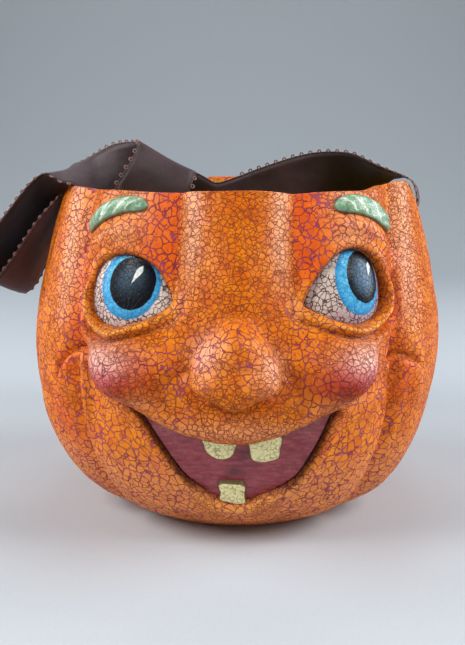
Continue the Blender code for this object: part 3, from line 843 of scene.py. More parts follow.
# height of each ring down the inner wall
INNER_LEVELS = np.concatenate([np.linspace(HEIGHT - 1.5, 18, 56)[1:], [14.0, 10.0, 7.0]])

# painted patches, each (arc, z, half arc, half z); the pale ones are painted highlights and the
# under-cheek ones painted shade
RED_SPOTS = ((-98, 94, 8, 9), (92, 88, 9, 17), (88, 118, 8, 12), (-90, 122, 8, 12),
             (-104, 60, 10, 22))
BLUSH_SPOTS = ((-58, 97, 20, 12.0), (50, 97.5, 21, 11.0))
PAINTED_PALE_HIGHLIGHT_SPOTS = ((-14, 114, 8, 8), (16, 104, 6, 9), (-52, 86, 16, 4), (50, 84, 16, 4),
               (-60, 109, 15, 4.5), (58, 111, 14, 4.5), (-66, 163, 13, 6), (60, 164, 12, 6),
               (0, 74, 40, 6))
UNDER_CHEEK_SHADE_SPOTS = ((-57, 88, 17, 4.6), (49, 89.5, 16, 4.6))
# painted pink highlights, the same with a strength
PAINTED_PINK_HIGHLIGHT_SPOTS = ((-61, 103.5, 13, 6.0, 1.0), (57, 105.5, 13, 6.0, 1.0), (-15, 108, 7, 8, 0.55),
               (12, 103, 7, 7, 0.35))


def rim_wave(angle):
    """The rim's height wanders and dips a little where a crease meets it."""
    turn = np.radians(angle)
    drop = rib_drop(angle, np.full(angle.shape, HEIGHT - 1))
    wander = (0.40 * np.sin(3 * turn + 0.6) + 0.35 * np.sin(7 * turn + 2.0)
              + 0.18 * np.sin(17 * turn))
    left_dip = 1.8 * np.clip(-np.sin(turn), 0, 1) ** 2
    right_rise = 2.3 * smooth(39, 50, angle) * smooth(94, 70, angle) + 2.2 * bell(angle - 61, 6.5)
    return -1.6 - 0.22 * drop + wander - left_dip + right_rise


def cut_wall():
    """Outer wall as a flat (angle, z) mesh cut along the openings.

    Returns places, faces, the openings' edges, and the base and rim rings.
    """
    back = np.linspace(FACE_HALF, 360.0 - FACE_HALF, 119)[:-1]
    columns = np.concatenate([np.arange(-FACE_HALF, FACE_HALF, FACE_STEP), back])
    length = running_length(PROFILE_CURVE)
    heights = np.interp(np.linspace(0, length[-1], 206), length, PROFILE_Z)
    mesh = bmesh.new()
    grid = [[mesh.verts.new((c if c <= 180 else c - 360, z, 0)) for c in columns]
            for z in heights]
    for low, high in zip(grid, grid[1:]):
        for j in range(len(columns)):
            k = (j + 1) % len(columns)
            mesh.faces.new((low[j], low[k], high[k], high[j]))
    mesh.verts.index_update()
    flat = np.array([v.co for v in mesh.verts])
    field = nearest_opening(flat[:, 0] * ARC_PER_DEGREE, flat[:, 1])
    away = {v: field[v.index] for v in mesh.verts}

    # split the edges that cross an outline, then the faces between the new points
    crossing = [e for e in mesh.edges if away[e.verts[0]] * away[e.verts[1]] < 0]
    fresh = []
    for edge in crossing:
        start, end = edge.verts
        share = away[start] / (away[start] - away[end])
        _, made = bmesh.utils.edge_split(edge, start, min(0.97, max(0.03, share)))
        away[made] = 0.0
        fresh.append(made)
    for face in list({f for v in fresh for f in v.link_faces}):
        cut = [v for v in face.verts if abs(away[v]) < 1e-9]
        if len(cut) == 2 and not any(set(e.verts) == set(cut) for e in face.edges):
            bmesh.utils.face_split(face, cut[0], cut[1])
    doomed = [f for f in mesh.faces
              if sum(away[v] for v in f.verts) < 0 and min(away[v] for v in f.verts) < -1e-6]
    bmesh.ops.delete(mesh, geom=doomed, context="FACES")

    mesh.verts.index_update()
    flat = np.array([v.co for v in mesh.verts])
    faces = [[v.index for v in f.verts] for f in mesh.faces]
    base, rim = ([v.index for v in row] for row in (grid[0], grid[-1]))
    loops = [e.link_loops[0] for e in mesh.edges if e.is_boundary]
    edges = [(loop.vert.index, loop.link_loop_next.vert.index) for loop in loops]
    ends = {*base, *rim}
    opening = [pair for pair in edges if not ends.issuperset(pair)]
    mesh.free()
    return flat, faces, opening, base, rim


def build_shell():
    flat, faces, opening, base, rim = cut_wall()
    angle, z = flat[:, 0], flat[:, 1]
    arc = angle * ARC_PER_DEGREE
    points, normals = wall(angle, z)
    # slight unevenness of a hand-finished casting
    lumps = (0.30 * waves(*points.T, scale=34.0, seed=3.1)
             + 0.12 * waves(*points.T, scale=13.0, seed=7.7))
    height = relief(arc, z) + lumps * smooth(2, 12, z)
    points = points + normals * height[:, None]
    points[:, 2] += rim_wave(angle) * smooth(HEIGHT - 10, HEIGHT, z)
    parts = Parts(width=1)  # the value is the depth behind the outer face
    parts.add(points, 0.0, faces)

    # walls of the openings, running in from the rolled edge
    members = sorted({i for pair in opening for i in pair})
    layer = {i: i for i in members}
    for inward in OPENING_DEPTHS:
        added = parts.add(points[members] - normals[members] * inward, inward)
        deeper = dict(zip(members, added))
        parts.faces += [[layer[j], layer[i], deeper[i], deeper[j]] for i, j in opening]
        layer = deeper
    before_rim = parts.total

    # rounded rim
    up = np.array([0, 0, 1.0])
    rim_normals = normals[rim]
    middle = points[rim] - rim_normals * (WALL / 2)
    last = rim
    for k in range(1, RIM_STEPS):
        turn = math.pi * k / RIM_STEPS
        ring = (middle + rim_normals * (WALL / 2 * math.cos(turn))
                + up * (RIM_RISE * math.sin(turn)))
        added = parts.add(ring, 2.0 * k / RIM_STEPS)
        parts.stitch(last, added)
        last = added

    # inner wall, thicker round the openings
    added = parts.add(points[rim] - rim_normals * WALL - up * 1.2, 8.0)
    parts.stitch(last, added)
    last = added
    for k, level in enumerate(INNER_LEVELS, 1):
        levels = np.full(len(rim), level)
        ring, ring_normals = wall(angle[rim], levels)
        away = nearest_opening(arc[rim], levels)
        ring = ring - ring_normals * (WALL + 6.5 * smooth(13, 3, away))[:, None]
        ring[:, 2] = np.maximum(ring[:, 2], WALL)
        added = parts.add(ring, 8.0 + k)
        parts.stitch(last, added)
        last = added

    parts.close_disc(last, level=WALL, depth=40.0, flip=False)
    parts.close_disc(base, level=0.0, depth=0.0, flip=True)

    points = np.vstack(parts.points)
    rest = points[before_rim:]
    layers = len(OPENING_DEPTHS)
    rest_arc = GIRTH_RADIUS * np.arctan2(rest[:, 0], -rest[:, 1])
    paint, paint2 = shell_paint(
        np.concatenate([arc, np.tile(arc[members], layers), rest_arc]),
        np.concatenate([z, np.tile(z[members], layers), rest[:, 2]]),
        np.vstack(parts.values)[:, 0], np.arange(len(points)) >= before_rim)
    mesh_object("shell_glazed", points, parts.faces, (GLAZE,), ("pumpkin_shell",),
                attributes={"paint": paint, "paint2": paint2})


def shell_paint(arc, z, depth, beyond_rim):
    """Vertex masks: (red, blush, dark = painted shade, crackle size) and (painted yellow highlight,
    inside, painted pale highlight, painted pink highlight).
    """
    angle = np.degrees(arc / GIRTH_RADIUS)
    off = np.abs(angle)
    off_arc = np.abs(arc)
    first, second = face_creases(angle, z)

    # red beside the creases and in patches on the flanks
    high = smooth(132, 152, z)
    red = 0.95 * high * smooth(first - 1.5, first + 1.0, off) * smooth(first + 15, first + 5, off)
    beside = 0.75 * bell(off - second, 4.5) * smooth(178, 150, z) * smooth(96, 112, z)
    red = np.maximum.reduce([red, beside, 0.75 * spots(arc, z, RED_SPOTS)])
    blush = spots(arc, z, BLUSH_SPOTS, power=1.3)

    # painted shade on the upper lids and in the lower-lid creases, painted yellow highlights on the
    # lower-lid beads, round the eyes
    dark = np.zeros_like(arc)
    painted_yellow_highlight = np.zeros_like(arc)
    for outline in (EYE_LEFT, EYE_RIGHT):
        away = distance(outline, arc, z)
        eye_arc, eye_z = outline.mean(0)
        upper = smooth(-6, 8, z - eye_z)
        middle = bell(off - abs(np.degrees(eye_arc / GIRTH_RADIUS)) + 2.0, 8.0)
        lid = upper * (0.35 + 0.45 * middle) * bell(np.maximum(away, 0), 0.95)
        crease = (1 - upper) * 0.75 * bell(away - 6.7, 0.8)
        dark = np.maximum.reduce([dark, lid, crease])
        painted_yellow_highlight = np.maximum(painted_yellow_highlight, (1 - upper) * 0.45 * bell(away - 3.0, 1.4))

    # mouth: painted yellow highlight on the lower lip, painted shade along its edge and on the
    # walls of the openings
    away = distance(MOUTH, arc, z)
    lower_lip = 0.35 * bell(away - 1.6, 1.2) * smooth(62, 30, z)
    painted_yellow_highlight = np.maximum(painted_yellow_highlight, np.where(z < lookup(LIP, arc) - 1.5, lower_lip, 0))
    edge = 0.9 * bell(away, 0.8) * smooth(30, 42, z)
    cut = 0.28 + 0.6 * smooth(30, 40, z) * smooth(100, 90, z)
    cut = np.clip(depth / 2.5, 0, 1) * (~beyond_rim) * cut

    # painted shadow under the nose, painted shade in the crease over the side folds and under the
    # cheeks
    side, up = arc - NOSE_ARC, z - NOSE_Z
    radius = np.hypot(side / (21.2 - 9.0 * smooth(6, 19, -up)), up / 19.0)
    nose = 0.62 * bell(radius - 1.04, 0.06) * smooth(-3, -10, up) * (np.abs(side) < 26)
    fold = 0.55 * bell(z - fold_line(arc)[2] - 1.8, 1.0)
    fold = fold * smooth(80, 85, off_arc) * smooth(108, 101, off_arc)
    cheeks = 0.17 * spots(arc, z, UNDER_CHEEK_SHADE_SPOTS)
    dark = np.maximum.reduce([dark, edge, cut, nose, fold, cheeks])

    # share of large cells in the crackle
    size = np.maximum(0.55, red)
    size -= 0.55 * bell(off, 11) * smooth(120, 140, z)
    size -= 0.50 * bell(off - 55, 9) * smooth(105, 125, z) * (arc > 0)
    size += 0.35 * smooth(74, 60, z) * smooth(10, 20, off)
    size -= 0.35 * bell(arc, 20) * bell(z - 78, 16)
    size -= 0.25 * spot(off, z, 30, 112, 10, 8)

    # painted highlights on the rib shoulders and flanks and in patches, and a painted floor
    # reflection low on the face
    painted_pale_highlight = np.maximum.reduce([
        0.80 * bell(off - first + 4.2, 2.8) * smooth(128, 160, z),
        0.35 * bell(off - 32, 8) * smooth(150, 166, z),
        0.60 * bell(off - second - 5.5, 4.0) * smooth(100, 150, z),
        0.42 * spots(arc, z, PAINTED_PALE_HIGHLIGHT_SPOTS),
        0.27 * smooth(64, 34, z) * (~beyond_rim)])
    # painted pink highlights on the cheeks and the nose
    painted_pink_highlight = np.maximum.reduce([strength * spot(arc, z, *oval) for *oval, strength in PAINTED_PINK_HIGHLIGHT_SPOTS])
    inside = beyond_rim & (depth > 7.0)
    return (np.clip(np.stack([red, blush, dark, size], axis=1), 0, 1),
            np.clip(np.stack([painted_yellow_highlight, inside, painted_pale_highlight, painted_pink_highlight], axis=1), 0, 1))


build_shell()

# --------------------------------------------------------------------------- mouth panel, teeth


def build_mouth():
    columns, rows = 120, 64
    arc = np.linspace(-60, 58, columns)[None, :].repeat(rows, 0)
    low = 21.0 + 52.0 * (np.abs(arc + 1.0) / 57.0) ** 2.2
    high = lookup(LIP, arc) + 7.0
    z = low + (high - low) * np.linspace(0, 1, rows)[:, None]
    lower = even(LOWER_LIP, 160)
    to_lower = np.min(np.hypot(arc[..., None] - lower[:, 0], z[..., None] - lower[:, 1]), axis=-1)
    # the panel sinks away from the lower lip and stays behind the wall outside the opening
    foot = smooth(46, 30, z)
    depth = (2.7 + 1.6 * foot + (3.4 - 1.2 * foot) * smooth(0, 13, to_lower)
             + 0.12 * waves(arc, z, scale=12.0, seed=5.0))
    behind = (distance(MOUTH, arc, z) > 0) & (z > 50) & (to_lower > 6)
    depth = np.where(behind, np.maximum(depth, 6.6), depth)
    # painted shade along the lower lip and between the teeth
    edge = (np.clip(1.0 - to_lower / 2.6, 0, 1) * smooth(28, 36, z)
            + 0.55 * np.clip(1.0 - to_lower / 1.6, 0, 1))
    tooth_gap_shade = 0.9 * spot(arc, z, -0.5, 43.5, 5.5, 3.6) + 0.7 * spot(arc, z, 4, 55, 4, 5)
    paint = paint_masks(np.clip(edge, 0, 1), np.clip(tooth_gap_shade, 0, 1))
    mesh_object("mouth_inside", on_wall(arc, z, -depth).reshape(-1, 3), grid_faces(rows, columns),
                (MAROON,), ("mouth_panel",), attributes={"paint": paint})


# rings of a tooth after its back ring: share of the outline, share of the rise, edge paint
TOOTH_RINGS = ((1.0, 0.45, 1.0), (0.97, 0.78, 1.0), (0.90, 0.95, 0.5), (0.78, 1.0, 0.0),
               (0.6, 1.0, 0.0), (0.4, 1.0, 0.0), (0.2, 1.0, 0.0))


def build_tooth(name, node, outline, back, front, tilt=0.0):
    """Thick dab of paint with a rounded edge; back and front are depths behind the wall."""
    count = 72
    ring = even(outline, count, True)
    centre = ring.mean(0)
    points = [on_wall(*ring.T, -back - 1.0)]
    paint = [1.0] * count
    for share, lift, edge in TOOTH_RINGS:
        arc, z = (centre + (ring - centre) * share).T
        extra = tilt * (centre[1] - z) / 10.0
        out = -back + (back - front + extra) * lift + 0.22 * waves(arc, z, scale=7.0, seed=2.0)
        points.append(on_wall(arc, z, out))
        paint += [edge] * count
    points.append(on_wall(centre[:1], centre[1:], -front))
    paint.append(0.0)
    rings = len(TOOTH_RINGS) + 1
    last = (rings - 1) * count
    faces = grid_faces(rings, count, wrap=True).tolist()
    faces += [[last + j, last + (j + 1) % count, rings * count] for j in range(count)]
    mesh_object(name, np.vstack(points), faces, (IVORY,), (node,),
                attributes={"paint": paint_masks(paint)})


build_mouth()
build_tooth("tooth_upper_left", "upper_left_tooth",
            [(-17.0, 67), (-17.0, 60), (-15.0, 55.6), (-10.0, 52.6), (-4.4, 53.4), (-1.2, 57.6),
             (-0.6, 67)], back=6.4, front=4.0)
build_tooth("tooth_upper_right", "upper_right_tooth",
            [(6.2, 67), (6.2, 57.0), (7.6, 52.4), (12.4, 50.9), (18.0, 51.6), (21.6, 53.4),
             (22.0, 59), (21.4, 67)], back=6.4, front=3.8)
build_tooth("tooth_lower", "lower_tooth",
            [(-10.0, 37.2), (-9.4, 32), (-9.8, 28.0), (-4.0, 26.4), (1.2, 25.6), (5.4, 26.4),
             (4.8, 31), (4.6, 36.6), (-2.0, 37.6)], back=6.2, front=2.0, tilt=2.3)

# --------------------------------------------------------------------------- eyes


def build_eye(name, node, outline, centre, radii, top, fall, material):
    """Domed eyeball in its opening: top is its height off the wall, fall its drop at radii."""
    columns, rows = 84, 72
    low, high = outline.min(0) - 3.0, outline.max(0) + 3.0
    arc = np.linspace(low[0], high[0], columns)[None, :].repeat(rows, 0)
    z = np.linspace(low[1], high[1], rows)[:, None].repeat(columns, 1)
    square = ((arc - centre[0]) / radii[0]) ** 2 + ((z - centre[1]) / radii[1]) ** 2
    curve = 0.62
    drop = 1 - np.sqrt(np.clip(1 - curve * square, 0.02, 1))
    out = np.minimum(top - fall * drop / (1 - math.sqrt(1 - curve)), 0.2)
    away = distance(outline, arc, z) + 0.2
    # painted shade where the eyeball meets the lid, strongest under the upper lid
    edge = np.clip(1 + away / 1.6, 0, 1) * smooth(-10, 6, z - centre[1])
    edge = np.maximum(edge, np.clip(1 + away / 0.8, 0, 1) * 0.7)
    mesh_object(name, on_wall(arc, z, out).reshape(-1, 3), grid_faces(rows, columns), (material,),
                (node,), uv=np.stack([arc, z], axis=-1).reshape(-1, 2),
                attributes={"paint": paint_masks(edge)})


eye_left = eye_material(
    "painted_eye_left", iris=((-58.9, 139.1), (17.0, 16.3)), pupil=((-57.1, 140.3), (12.7, 12.9)),
    spark=((-52.2, 148.6), (-57.2, 139.2)), sheen=(0.28, 6.9), white=rgb(222, 208, 196),
    grey=rgb(204, 186, 176), lower_outer_mauve_share=0.35)
eye_right = eye_material(
    "painted_eye_right", iris=((65.2, 142.4), (15.2, 17.0)), pupil=((68.1, 144.1), (11.4, 12.9)),
    spark=((74.2, 150.8), (71.0, 143.4)), sheen=(0.62, 3.6), white=rgb(220, 208, 192),
    grey=rgb(180, 160, 156), lower_outer_mauve_share=0.75)
build_eye("eye_left", "left_eyeball", EYE_LEFT, centre=(-66.0, 136.5), radii=(30.0, 21.0),
          top=0.0, fall=3.2, material=eye_left)
build_eye("eye_right", "right_eyeball", EYE_RIGHT, centre=(60.5, 138.5), radii=(23.5, 20.0),
          top=0.4, fall=4.4, material=eye_right)

# --------------------------------------------------------------------------- eyebrows


def build_brow(name, node, upper, lower, slant):
    """Raised leaf of paint between two (arc, z) edge lines that meet at the ends."""
    length, width = 70, 22
    upper, lower = even(upper, length), even(lower, length)
    across = np.sin(np.linspace(-math.pi / 2, math.pi / 2, width))[None, :]
    along = np.linspace(0, 1, length)[:, None]
    middle, half = (upper + lower) / 2, (upper - lower) / 2
    places = middle[:, None, :] + half[:, None, :] * across[..., None]
    fat = np.clip(np.linalg.norm(half, axis=1) / 4.6, 0, 1)[:, None]
    rounded = np.sqrt(np.clip(1 - across ** 2, 0, 1)) ** 0.8
    ridge = 0.35 * np.sin(2 * math.pi * (along * 4.2 + slant * across * 0.55))
    out = 0.2 + (3.3 * fat ** 0.7 + ridge * fat) * rounded
    arc, z = places[..., 0], places[..., 1]
    uv = np.stack([along.repeat(width, 1), across.repeat(length, 0)], axis=-1).reshape(-1, 2)
    mesh_object(name, on_wall(arc, z, out + relief(arc, z)).reshape(-1, 3),
                grid_faces(length, width, flip=slant < 0), (GREEN,), (node,), uv=uv)


build_brow("brow_left", "left_eyebrow",
           [(-96.0, 160.8), (-97.4, 166.4), (-91.6, 173.0), (-83.4, 177.4), (-75.0, 180.4),
            (-66.6, 181.7), (-59.6, 181.4), (-55.4, 179.6), (-53.6, 177.2)],
           [(-96.0, 160.8), (-91.6, 163.2), (-86.8, 166.0), (-79.6, 169.4), (-73.0, 171.8),
            (-67.2, 173.4), (-61.4, 174.1), (-56.0, 174.8), (-53.6, 177.2)], slant=-1.0)
build_brow("brow_right", "right_eyebrow",
           [(98.6, 162.4), (99.6, 167.6), (96.6, 172.4), (91.0, 176.8), (83.0, 180.8),
            (74.4, 183.2), (66.2, 183.9), (59.6, 182.8), (55.8, 180.8), (54.2, 178.6)],
           [(98.6, 162.4), (93.2, 164.6), (88.2, 167.0), (80.4, 170.2), (73.2, 172.8),
            (66.4, 174.3), (61.2, 174.9), (57.6, 175.4), (55.2, 176.4), (54.2, 178.6)], slant=1.0)

# --------------------------------------------------------------------------- ribbon
RIBBON_WIDTH = 38.0
RIBBON_THICKNESS = 0.5
RIBBON_SPACING = 1.5  # between rows along the ribbon
RIBBON_COLUMNS = 13
CORD_RADIUS = 0.42
CORD_UV = 0.3
PICOT_STEP = 5.2
PICOT_RADIUS = 0.98
PICOT_THREAD = 0.44


def grid_normals(points):
    along, across = np.gradient(points, axis=0), np.gradient(points, axis=1)
    normals = unit(np.cross(along, across))
    for _ in range(2):
        soft = normals.copy()
        soft[1:-1] = normals[1:-1] * 2 + normals[:-2] + normals[2:]
        normals = unit(soft)
    return normals


def strip_grid(near, far, camber, seed):
    """Grid between two matched edge lines: points, normals, lengths along, shares across."""
    dense = catmull(np.hstack([near, far]), 60 * len(near))
    middle = (dense[:, :3] + dense[:, 3:]) / 2
    middle_steps, near_steps = (np.linalg.norm(np.diff(line, axis=0), axis=1)
                                for line in (middle, dense[:, :3]))
    length = np.concatenate([[0], np.cumsum(np.maximum(middle_steps, 0.5 * near_steps))])
    along = np.linspace(0, length[-1], int(length[-1] / RIBBON_SPACING))
    edges = resample(dense, length, along)[:, None]
    across = np.linspace(0, 1, RIBBON_COLUMNS)
    share = across[None, :, None]
    points = edges[..., :3] * (1 - share) + edges[..., 3:] * share
    ripple = waves(along[:, None], (across * RIBBON_WIDTH)[None, :], scale=26.0, seed=seed)
    bow = camber * np.sin(np.pi * across)[None, :] + 0.35 * ripple
    points = points + grid_normals(points) * bow[..., None]
    return points, grid_normals(points), along, across


def tube(path, side, radius, segments=7, closed=False):
    """Points and faces of a round tube along a path; side points across it at each point."""
    if closed:
        along = np.roll(path, -1, 0) - np.roll(path, 1, 0)
    else:
        along = np.gradient(path, axis=0)
    along = unit(along)
    first = unit(side - along * np.sum(side * along, axis=1, keepdims=True))
    second = np.cross(along, first)
    turn = (np.arange(segments) / segments * 2 * math.pi)[None, :, None]
    points = path[:, None, :] + radius * (first[:, None, :] * np.cos(turn)
                                          + second[:, None, :] * np.sin(turn))
    count = len(path)
    rows = np.arange(count if closed else count - 1)
    i, j = np.meshgrid(rows, np.arange(segments), indexing="ij")
    k = (j + 1) % segments
    here, ahead = i * segments, (i + 1) % count * segments
    quads = np.stack([here + j, ahead + j, ahead + k, here + k], axis=-1).reshape(-1, 4).tolist()
    if not closed:
        quads.append(list(range(segments)))
        quads.append([(count - 1) * segments + s for s in range(segments - 1, -1, -1)])
    return points.reshape(-1, 3), quads


def add_picot_edge(parts, line, normals, out, picot_start):
    """Cord along an edge, with a loop every PICOT_STEP from the share picot_start onwards."""
    points, faces = tube(line + out * 0.15, normals, CORD_RADIUS)
    parts.add(points, CORD_UV, faces)
    length = running_length(line)
    places = np.arange(PICOT_STEP / 2, length[-1], PICOT_STEP)
    places = places[places / length[-1] >= picot_start]
    turn = np.linspace(0, 2 * math.pi, 13)[:-1, None]
    centres = resample(line, length, places)
    outs = unit(resample(out, length, places))
    ups = unit(resample(normals, length, places))
    for place, centre, away, up in zip(places, centres, outs, ups):
        along = np.cross(up, away)
        jitter = 0.12 * math.sin(place * 7.3)
        round_loop = np.cos(turn) * away + np.sin(turn) * along * 0.92
        loop = centre + away * (1.0 + jitter) + PICOT_RADIUS * round_loop
        sides = np.repeat(up[None], len(turn), 0)
        points, faces = tube(loop, sides, PICOT_THREAD, segments=6, closed=True)
        parts.add(points, 0.0, faces, slot=1)


def build_ribbon(name, near, far, replaced, blend_x, shade, camber, seed, picot_starts):
    """Two-faced ribbon with picot edges; blend_x, where pumpkin gives way to handle, is not used.
    """
    points, normals, along, across = strip_grid(near, far, camber, seed)
    rows, columns = points.shape[:2]
    top = points + normals * RIBBON_THICKNESS / 2
    low = points - normals * RIBBON_THICKNESS / 2
    count = rows * columns
    faces = grid_faces(rows, columns).tolist()
    faces += (grid_faces(rows, columns, flip=True) + count).tolist()
    index = np.arange(count).reshape(rows, columns)
    for line, flip in ((index[:, 0], False), (index[:, -1], True), (index[0], True),
                       (index[-1], False)):
        for i, j in zip(line, line[1:]):
            quad = [i, j, j + count, i + count]
            faces.append(quad[::-1] if flip else quad)
    uv = np.stack(np.broadcast_arrays(along[:, None], across[None, :] * RIBBON_WIDTH), axis=-1)
    uv = uv.reshape(-1, 2)
    parts = Parts(width=2)  # the values are the UV place
    parts.add(np.vstack([top.reshape(-1, 3), low.reshape(-1, 3)]), np.vstack([uv, uv]), faces)
    for edge, inner, start in ((0, 1, picot_starts[0]), (-1, -2, picot_starts[1])):
        out = unit(points[:, edge] - points[:, inner])
        add_picot_edge(parts, points[:, edge], normals[:, edge], out, start)
    dim = np.zeros(parts.total)
    dim[count:2 * count] = np.clip(shade(points), 0, 1).reshape(-1)
    obj = mesh_object(name, np.vstack(parts.points), parts.faces, (SATIN, PICOT), replaced,
                      body=None, uv=np.vstack(parts.values),
                      attributes={"shade": dim})
    obj.data.polygons.foreach_set("material_index", np.array(parts.slots, np.int32))
    start, end = ((x * MM_TO_M, 0, 0.19) for x in blend_x)
    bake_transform(obj)


# Matched edge lines as (x, y, z). The left strip runs from the left lacing hole out, round the
# loop, over the rim, across, over a crest, down into the bowl and folds back.
LEFT_NEAR = [
    (-101.5, 6, 172), (-103.2, -3, 176.0), (-105.2, -11.5, 175.0), (-108.8, -15, 171.0),
    (-115.3, -15.5, 163.3), (-121.3, -16, 154.1), (-127.4, -16, 144.6), (-133.0, -16.5, 137.3),
    (-139.0, -17.5, 130.5), (-144.5, -18.5, 128.5), (-148.0, -19.5, 133), (-146.5, -20.5, 145),
    (-140.5, -21, 156), (-134.0, -21, 164.5), (-128.5, -21, 171.5), (-123.0, -21, 178.5),
    (-118.0, -20.5, 184.0), (-113.0, -20, 188.3), (-108.6, -19.8, 189.8), (-104.4, -19.3, 187.0),
    (-99.8, -18.2, 184.8), (-95.5, -17.0, 184.0), (-89.0, -15, 179), (-80.0, -10, 171),
    (-66.0, -5, 167), (-48.0, 1, 169), (-34.0, 0, 179), (-27.9, -5.5, 190.0),
    (-27.2, -8.0, 191.6), (-26.8, -10.5, 190.0), (-27.6, -14, 185.5), (-29.5, -15.5, 179),
    (-33.0, -15.5, 169), (-38.0, -13, 162), (-43.0, -9, 162), (-46.5, -6.5, 169),
    (-48.0, -5.5, 176)]
LEFT_FAR = [
    (-102.0, 14, 168), (-104.5, 17, 167.5), (-106.5, 19.5, 163), (-108.5, 20.5, 158),
    (-112.5, 21.5, 148), (-116.5, 21, 138), (-121.0, 19, 127.5), (-125.0, 16.5, 120.5),
    (-130.0, 15, 116.2), (-135.5, 14, 116.8), (-137.0, 14.5, 121), (-133.0, 14.5, 129.5),
    (-127.0, 14.5, 139), (-121.0, 14.5, 148), (-115.5, 15, 157.5), (-108.3, 15.5, 167),
    (-103.6, 16.5, 176), (-102.2, 17.5, 183.5), (-102.4, 18.3, 189.3), (-102.2, 18.6, 192.0),
    (-100.8, 18.0, 193.6), (-97.0, 16.5, 195.0), (-90.3, 12.5, 197.6), (-82.5, 7.5, 201.6),
    (-75.0, 4.5, 205.2), (-68.0, 1.0, 206.8), (-62.0, -3.0, 207.5), (-58.2, -8.0, 207.9),
    (-57.0, -10.5, 208.0), (-57.4, -13.0, 206.6), (-60.0, -16, 199.5), (-64.5, -18, 191.5),
    (-70.0, -18, 182), (-73.5, -16, 168), (-72.0, -12, 155), (-66.0, -7, 148.5),
    (-58.0, -3, 147.5)]
# The right strip runs up from that fold behind the first panel, across on edge, over the right
# rim and round to its lacing hole.
RIGHT_NEAR = [
    (-48, -5.5, 176), (-42, -4, 186), (-34, -3, 191.6), (-28.5, -2.5, 191.6), (-21.5, -1.5, 188.3),
    (-13.6, -0.5, 184.4), (-3.3, 0, 187.4), (11.2, 0.5, 193.0), (25.7, 0.5, 198.0),
    (36.0, 0, 201.0), (45.5, -1.0, 202.8), (55.5, -3.0, 203.2), (65.4, -7.0, 202.0),
    (77.0, -13.0, 196.8), (86.0, -16.0, 193.2), (91.5, -17.2, 191.2), (95.5, -15.0, 189.4),
    (99.4, -10.5, 186.4), (102.5, -5.5, 180.5), (104.2, -2.0, 174.5), (103.2, 2, 171)]
RIGHT_FAR = [
    (-58, -3, 147.5), (-47, 0, 150), (-38, 2, 154), (-31, 3, 154.5), (-22, 4, 151.5),
    (-12.6, 4, 148.5), (-1.5, 5, 150), (13.0, 6, 155.5), (27.0, 7, 160.8), (37.5, 8, 164.0),
    (47.5, 10, 166.5), (57.5, 12, 169.5), (67.0, 14.5, 171.0), (78.5, 18.0, 173.5),
    (86.0, 20.3, 179.5), (91.0, 21.0, 186.2), (96.0, 21.0, 188.0), (102.0, 21.3, 187.8),
    (107.6, 22.2, 182.0), (108.4, 21.8, 173), (104.0, 18, 166.5)]


def left_shade(points):
    """Deep shadow inside the side loop, lighter before its outermost point."""
    turn = np.argmin(points[:len(points) // 2, RIBBON_COLUMNS // 2, 0])
    rising = smooth(turn - 8, turn + 4, np.arange(len(points)))[:, None]
    return smooth(-99, -106, points[..., 0]) * (0.45 + 0.5 * rising)


def right_shade(points):
    return smooth(30, 66, points[..., 0]) * smooth(104, 97, points[..., 0])


build_ribbon("ribbon_left", LEFT_NEAR, LEFT_FAR, ("ribbon_left_loop", "ribbon_handle"),
             blend_x=(-99.0, -60.0), shade=left_shade, camber=0.6, seed=2.0, picot_starts=(0, 0))
build_ribbon("ribbon_right", RIGHT_NEAR, RIGHT_FAR, ("ribbon_right_end",), blend_x=(97.0, 24.0),
             shade=right_shade, camber=0.7, seed=5.0, picot_starts=(0.30, 0))

# --------------------------------------------------------------------------- knots
HOLE_ANGLE = math.radians(96.0)
HOLE_RADIUS, HOLE_Z = 103.5, 168.0
NECK_LENGTH = 12.0
NECK_RADIUS = 4.6
# turns of the knot: tilt in radians, radius, thickness
KNOT_TURNS = ((0.2, 6.0, 3.6), (1.2, 5.4, 3.4), (2.3, 5.8, 3.2))


